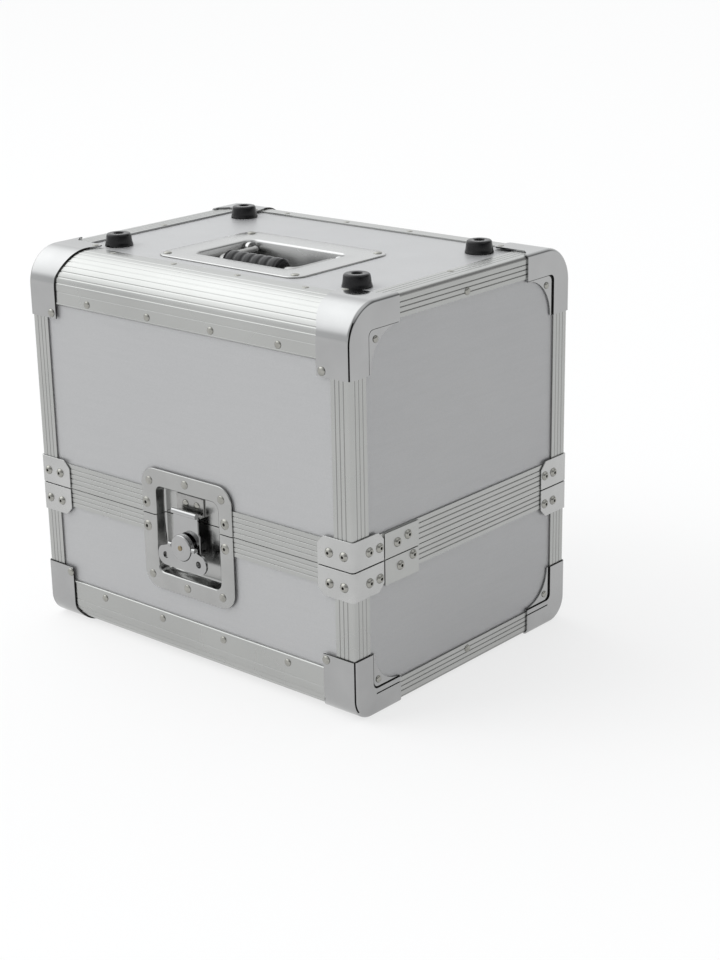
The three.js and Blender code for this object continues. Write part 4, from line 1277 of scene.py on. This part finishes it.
def add_grip():
    """The ribbed rubber grip round the bail."""
    low, high = corners_of("handle_grip")
    half = (high.x - low.x) / 2
    radius = (high.z - low.z) / 2
    bore = ROD + GRIP_PLAY
    points = [(bore, -half)] + [(radius - inset, along - half) for inset, along in GRIP_END]
    steps = GRIP_RIBS * 12
    for i in range(steps + 1):
        share = i / steps
        rise = 0.5 * (1 + math.cos(2 * math.pi * GRIP_RIBS * share))
        points.append((radius - GRIP_DIP * rise ** 3, (half - GRIP_PLAIN) * (2 * share - 1)))
    points += [(radius - inset, half - along) for inset, along in reversed(GRIP_END)]
    points += [(bore, half), (bore, -half)]
    centre = (0, (low.y + high.y) / 2, BAIL_Z)
    add_turned(
        "handle_grip_dressed", [(centre, (1, 0, 0))], points, 40,
        "rubber", body_of("handle_grip"), "rubber", ("handle_grip",), SOFT_ANGLE,
    )


def add_handle():
    """The well with its ears, the bail, the grip and the rivets of the well."""
    add_well()
    add_ears()
    add_bail()
    add_grip()
    spots = [
        ((x * WELL_RIVETS[0], WELL_MIDDLE + y * WELL_RIVETS[1], WELL_HIGH.z), UP)
        for x, y in CORNER_SIGNS
    ]
    add_rivets("handle_well_rivets", "lid", spots, dome_points(*RIM_RIVET))


# Surroundings

FLOOR_HALF = 60.0
FLOOR_GREY = 0.8
FLOOR_ROUGHNESS = 0.95
FLOOR_SHOWN_SHARE = 0.7
BACKDROP_LEVEL = 0.92
BACKDROP_FULL = 0.12
BACKDROP_END = 0.3
LAMP_PLACE = Vector((-3.2, -3.4, 4.2))
LAMP_AIM = Vector((0, 0, 0.2))
LAMP_SIZE = 3.4
LAMP_POWER = 100
SKY_COLOUR = (0.985, 0.995, 1.0, 1)
SKY_LEVEL = 0.5
SKY_LIGHTS = (
    ((-0.64, -0.24, 0.72), 0.6, 1.2),
    ((-0.62, -0.6, 0.5), 0.7, 0.3),
    ((-0.62, 0.6, 0.5), 0.35, 0.65),
    ((-0.2, -0.9, 0.4), 0.3, 0.2),
    ((0.54, 0.1, 0.84), 0.78, 0.7),
    ((1.0, 0.1, 0.1), 0.1, -0.37),
)


def joined(tree, operation, first, second):
    """The result of a Math node on two numbers."""
    return add_node(tree, "Math", {0: first, 1: second}, operation=operation).outputs["Value"]


def seen_rays(tree):
    """One for camera, transmission and glossy rays, and zero for the rest."""
    path = add_node(tree, "LightPath", {}).outputs
    seen = joined(tree, "MAXIMUM", path["Is Camera Ray"], path["Is Transmission Ray"])
    return joined(tree, "MAXIMUM", seen, path["Is Glossy Ray"])


def add_floor():
    """A wide white floor that takes the shadow of the case, and looks paler to the camera."""
    corners = rectangle(-FLOOR_HALF, -FLOOR_HALF, FLOOR_HALF, FLOOR_HALF)
    mesh = bpy.data.meshes.new("floor")
    mesh.from_pydata([(x, y, 0) for x, y in corners], [], [(0, 1, 2, 3)])
    floor = link("floor", mesh)
    material, tree, shader = new_material("floor")
    feed(tree, shader, {
        "Base Color": (FLOOR_GREY, FLOOR_GREY, FLOOR_GREY, 1), "Roughness": FLOOR_ROUGHNESS,
        "Specular IOR Level": 0.0,
    })
    glow = add_node(tree, "Emission", {"Color": (*EVEN, 1)})
    share = joined(tree, "MULTIPLY", seen_rays(tree), FLOOR_SHOWN_SHARE)
    inputs = {"Fac": share, 1: shader.outputs["BSDF"], 2: glow.outputs["Emission"]}
    mix = add_node(tree, "MixShader", inputs)
    tree.links.new(mix.outputs["Shader"], tree.nodes["Material Output"].inputs["Surface"])
    mesh.materials.append(material)


def soft_light(tree, direction, aim, wide, level):
    """A round glow in the sky about aim that fades out where the cosine falls to wide."""
    inputs = {0: direction, 1: Vector(aim).normalized()}
    across = add_node(tree, "VectorMath", inputs, operation="DOT_PRODUCT").outputs["Value"]
    inputs = {"Value": across, "From Min": wide, "From Max": 1.0, "To Min": 0.0, "To Max": level}
    return add_node(tree, "MapRange", inputs, interpolation_type="SMOOTHSTEP").outputs["Result"]


def add_world():
    """A pale sky with soft lights, the largest above the front left, and a pale backdrop round it."""
    world = bpy.data.worlds.new("world")
    bpy.context.scene.world = world
    world.use_nodes = True
    tree = world.node_tree
    direction = add_node(tree, "TexCoord", {}).outputs["Generated"]
    total = SKY_LEVEL
    for aim, wide, level in SKY_LIGHTS:
        total = joined(tree, "ADD", soft_light(tree, direction, aim, wide, level), total)
    height = add_node(tree, "SeparateXYZ", {"Vector": direction}).outputs["Z"]
    inputs = {"Value": height, "From Min": BACKDROP_END, "From Max": BACKDROP_FULL}
    low = add_node(tree, "MapRange", inputs, interpolation_type="SMOOTHSTEP").outputs["Result"]
    share = joined(tree, "MULTIPLY", seen_rays(tree), low)
    mix = add_node(tree, "Mix", {"Factor": share, "A": total, "B": BACKDROP_LEVEL})
    background = tree.nodes["Background"]
    background.inputs["Color"].default_value = SKY_COLOUR
    tree.links.new(mix.outputs["Result"], background.inputs["Strength"])


def add_lamp():
    """One large soft lamp, far off at the front left."""
    data = bpy.data.lights.new("key", "AREA")
    data.shape = "RECTANGLE"
    data.size = LAMP_SIZE
    data.size_y = LAMP_SIZE
    data.energy = LAMP_POWER
    lamp = bpy.data.objects.new("key", data)
    lamp.location = LAMP_PLACE
    lamp.rotation_euler = (LAMP_AIM - LAMP_PLACE).to_track_quat("-Z", "Y").to_euler()
    lamp.visible_glossy = False
    bpy.context.scene.collection.objects.link(lamp)


HALVES = ("base", "lid")
PANELS = ["base_bottom_panel", "lid_top_panel"]
PANELS += [f"{half}_{side}_panel" for half in HALVES for side in ("front", "back", "left", "right")]
STRIPS = {f"{half}_closure_profile": "profile_level" for half in HALVES}
for half in HALVES:
    STRIPS.update({f"{half}_{side}_edge_profile": "profile_y" for side in ("left", "right")})
    STRIPS.update({f"{half}_{name}_upright": "profile_z" for name in CORNER_SIDES})
BRACKETS = [f"{half}_{name}_bracket" for half in HALVES for name in CORNER_SIDES]
SMALL_PARTS = {
    "latch_strike": ("steel", "steel"), "latch_hook": ("chrome", "chrome"),
    "hinge_base_leaf": ("profile_x", "steel"), "hinge_lid_leaf": ("profile_x", "steel"),
    "hinge_pin": ("steel", "steel"),
}

add_camera()
add_floor()
add_world()
add_lamp()

for panel in PANELS:
    rounded_copy(panel, "laminate", "laminate")
for strip, strip_material in STRIPS.items():
    strip_piece = rounded_copy(strip, strip_material, "profile", SLIM_ROUND)
    paint_groove_shade(strip_piece)
    soften_flanges(strip_piece)
for bracket in BRACKETS:
    rounded_copy(bracket, "plate", "chrome", SOFT_ROUND)
for part, (part_material, part_slot) in SMALL_PARTS.items():
    rounded_copy(part, part_material, part_slot, FINE_ROUND)
add_corners()
add_edge_profiles()
add_latch_trays()
add_wing()
add_spindle()
add_strike_rivets()
add_feet()
add_handle()
add_all_rivets()

bpy.context.scene.view_settings.view_transform = "Standard"
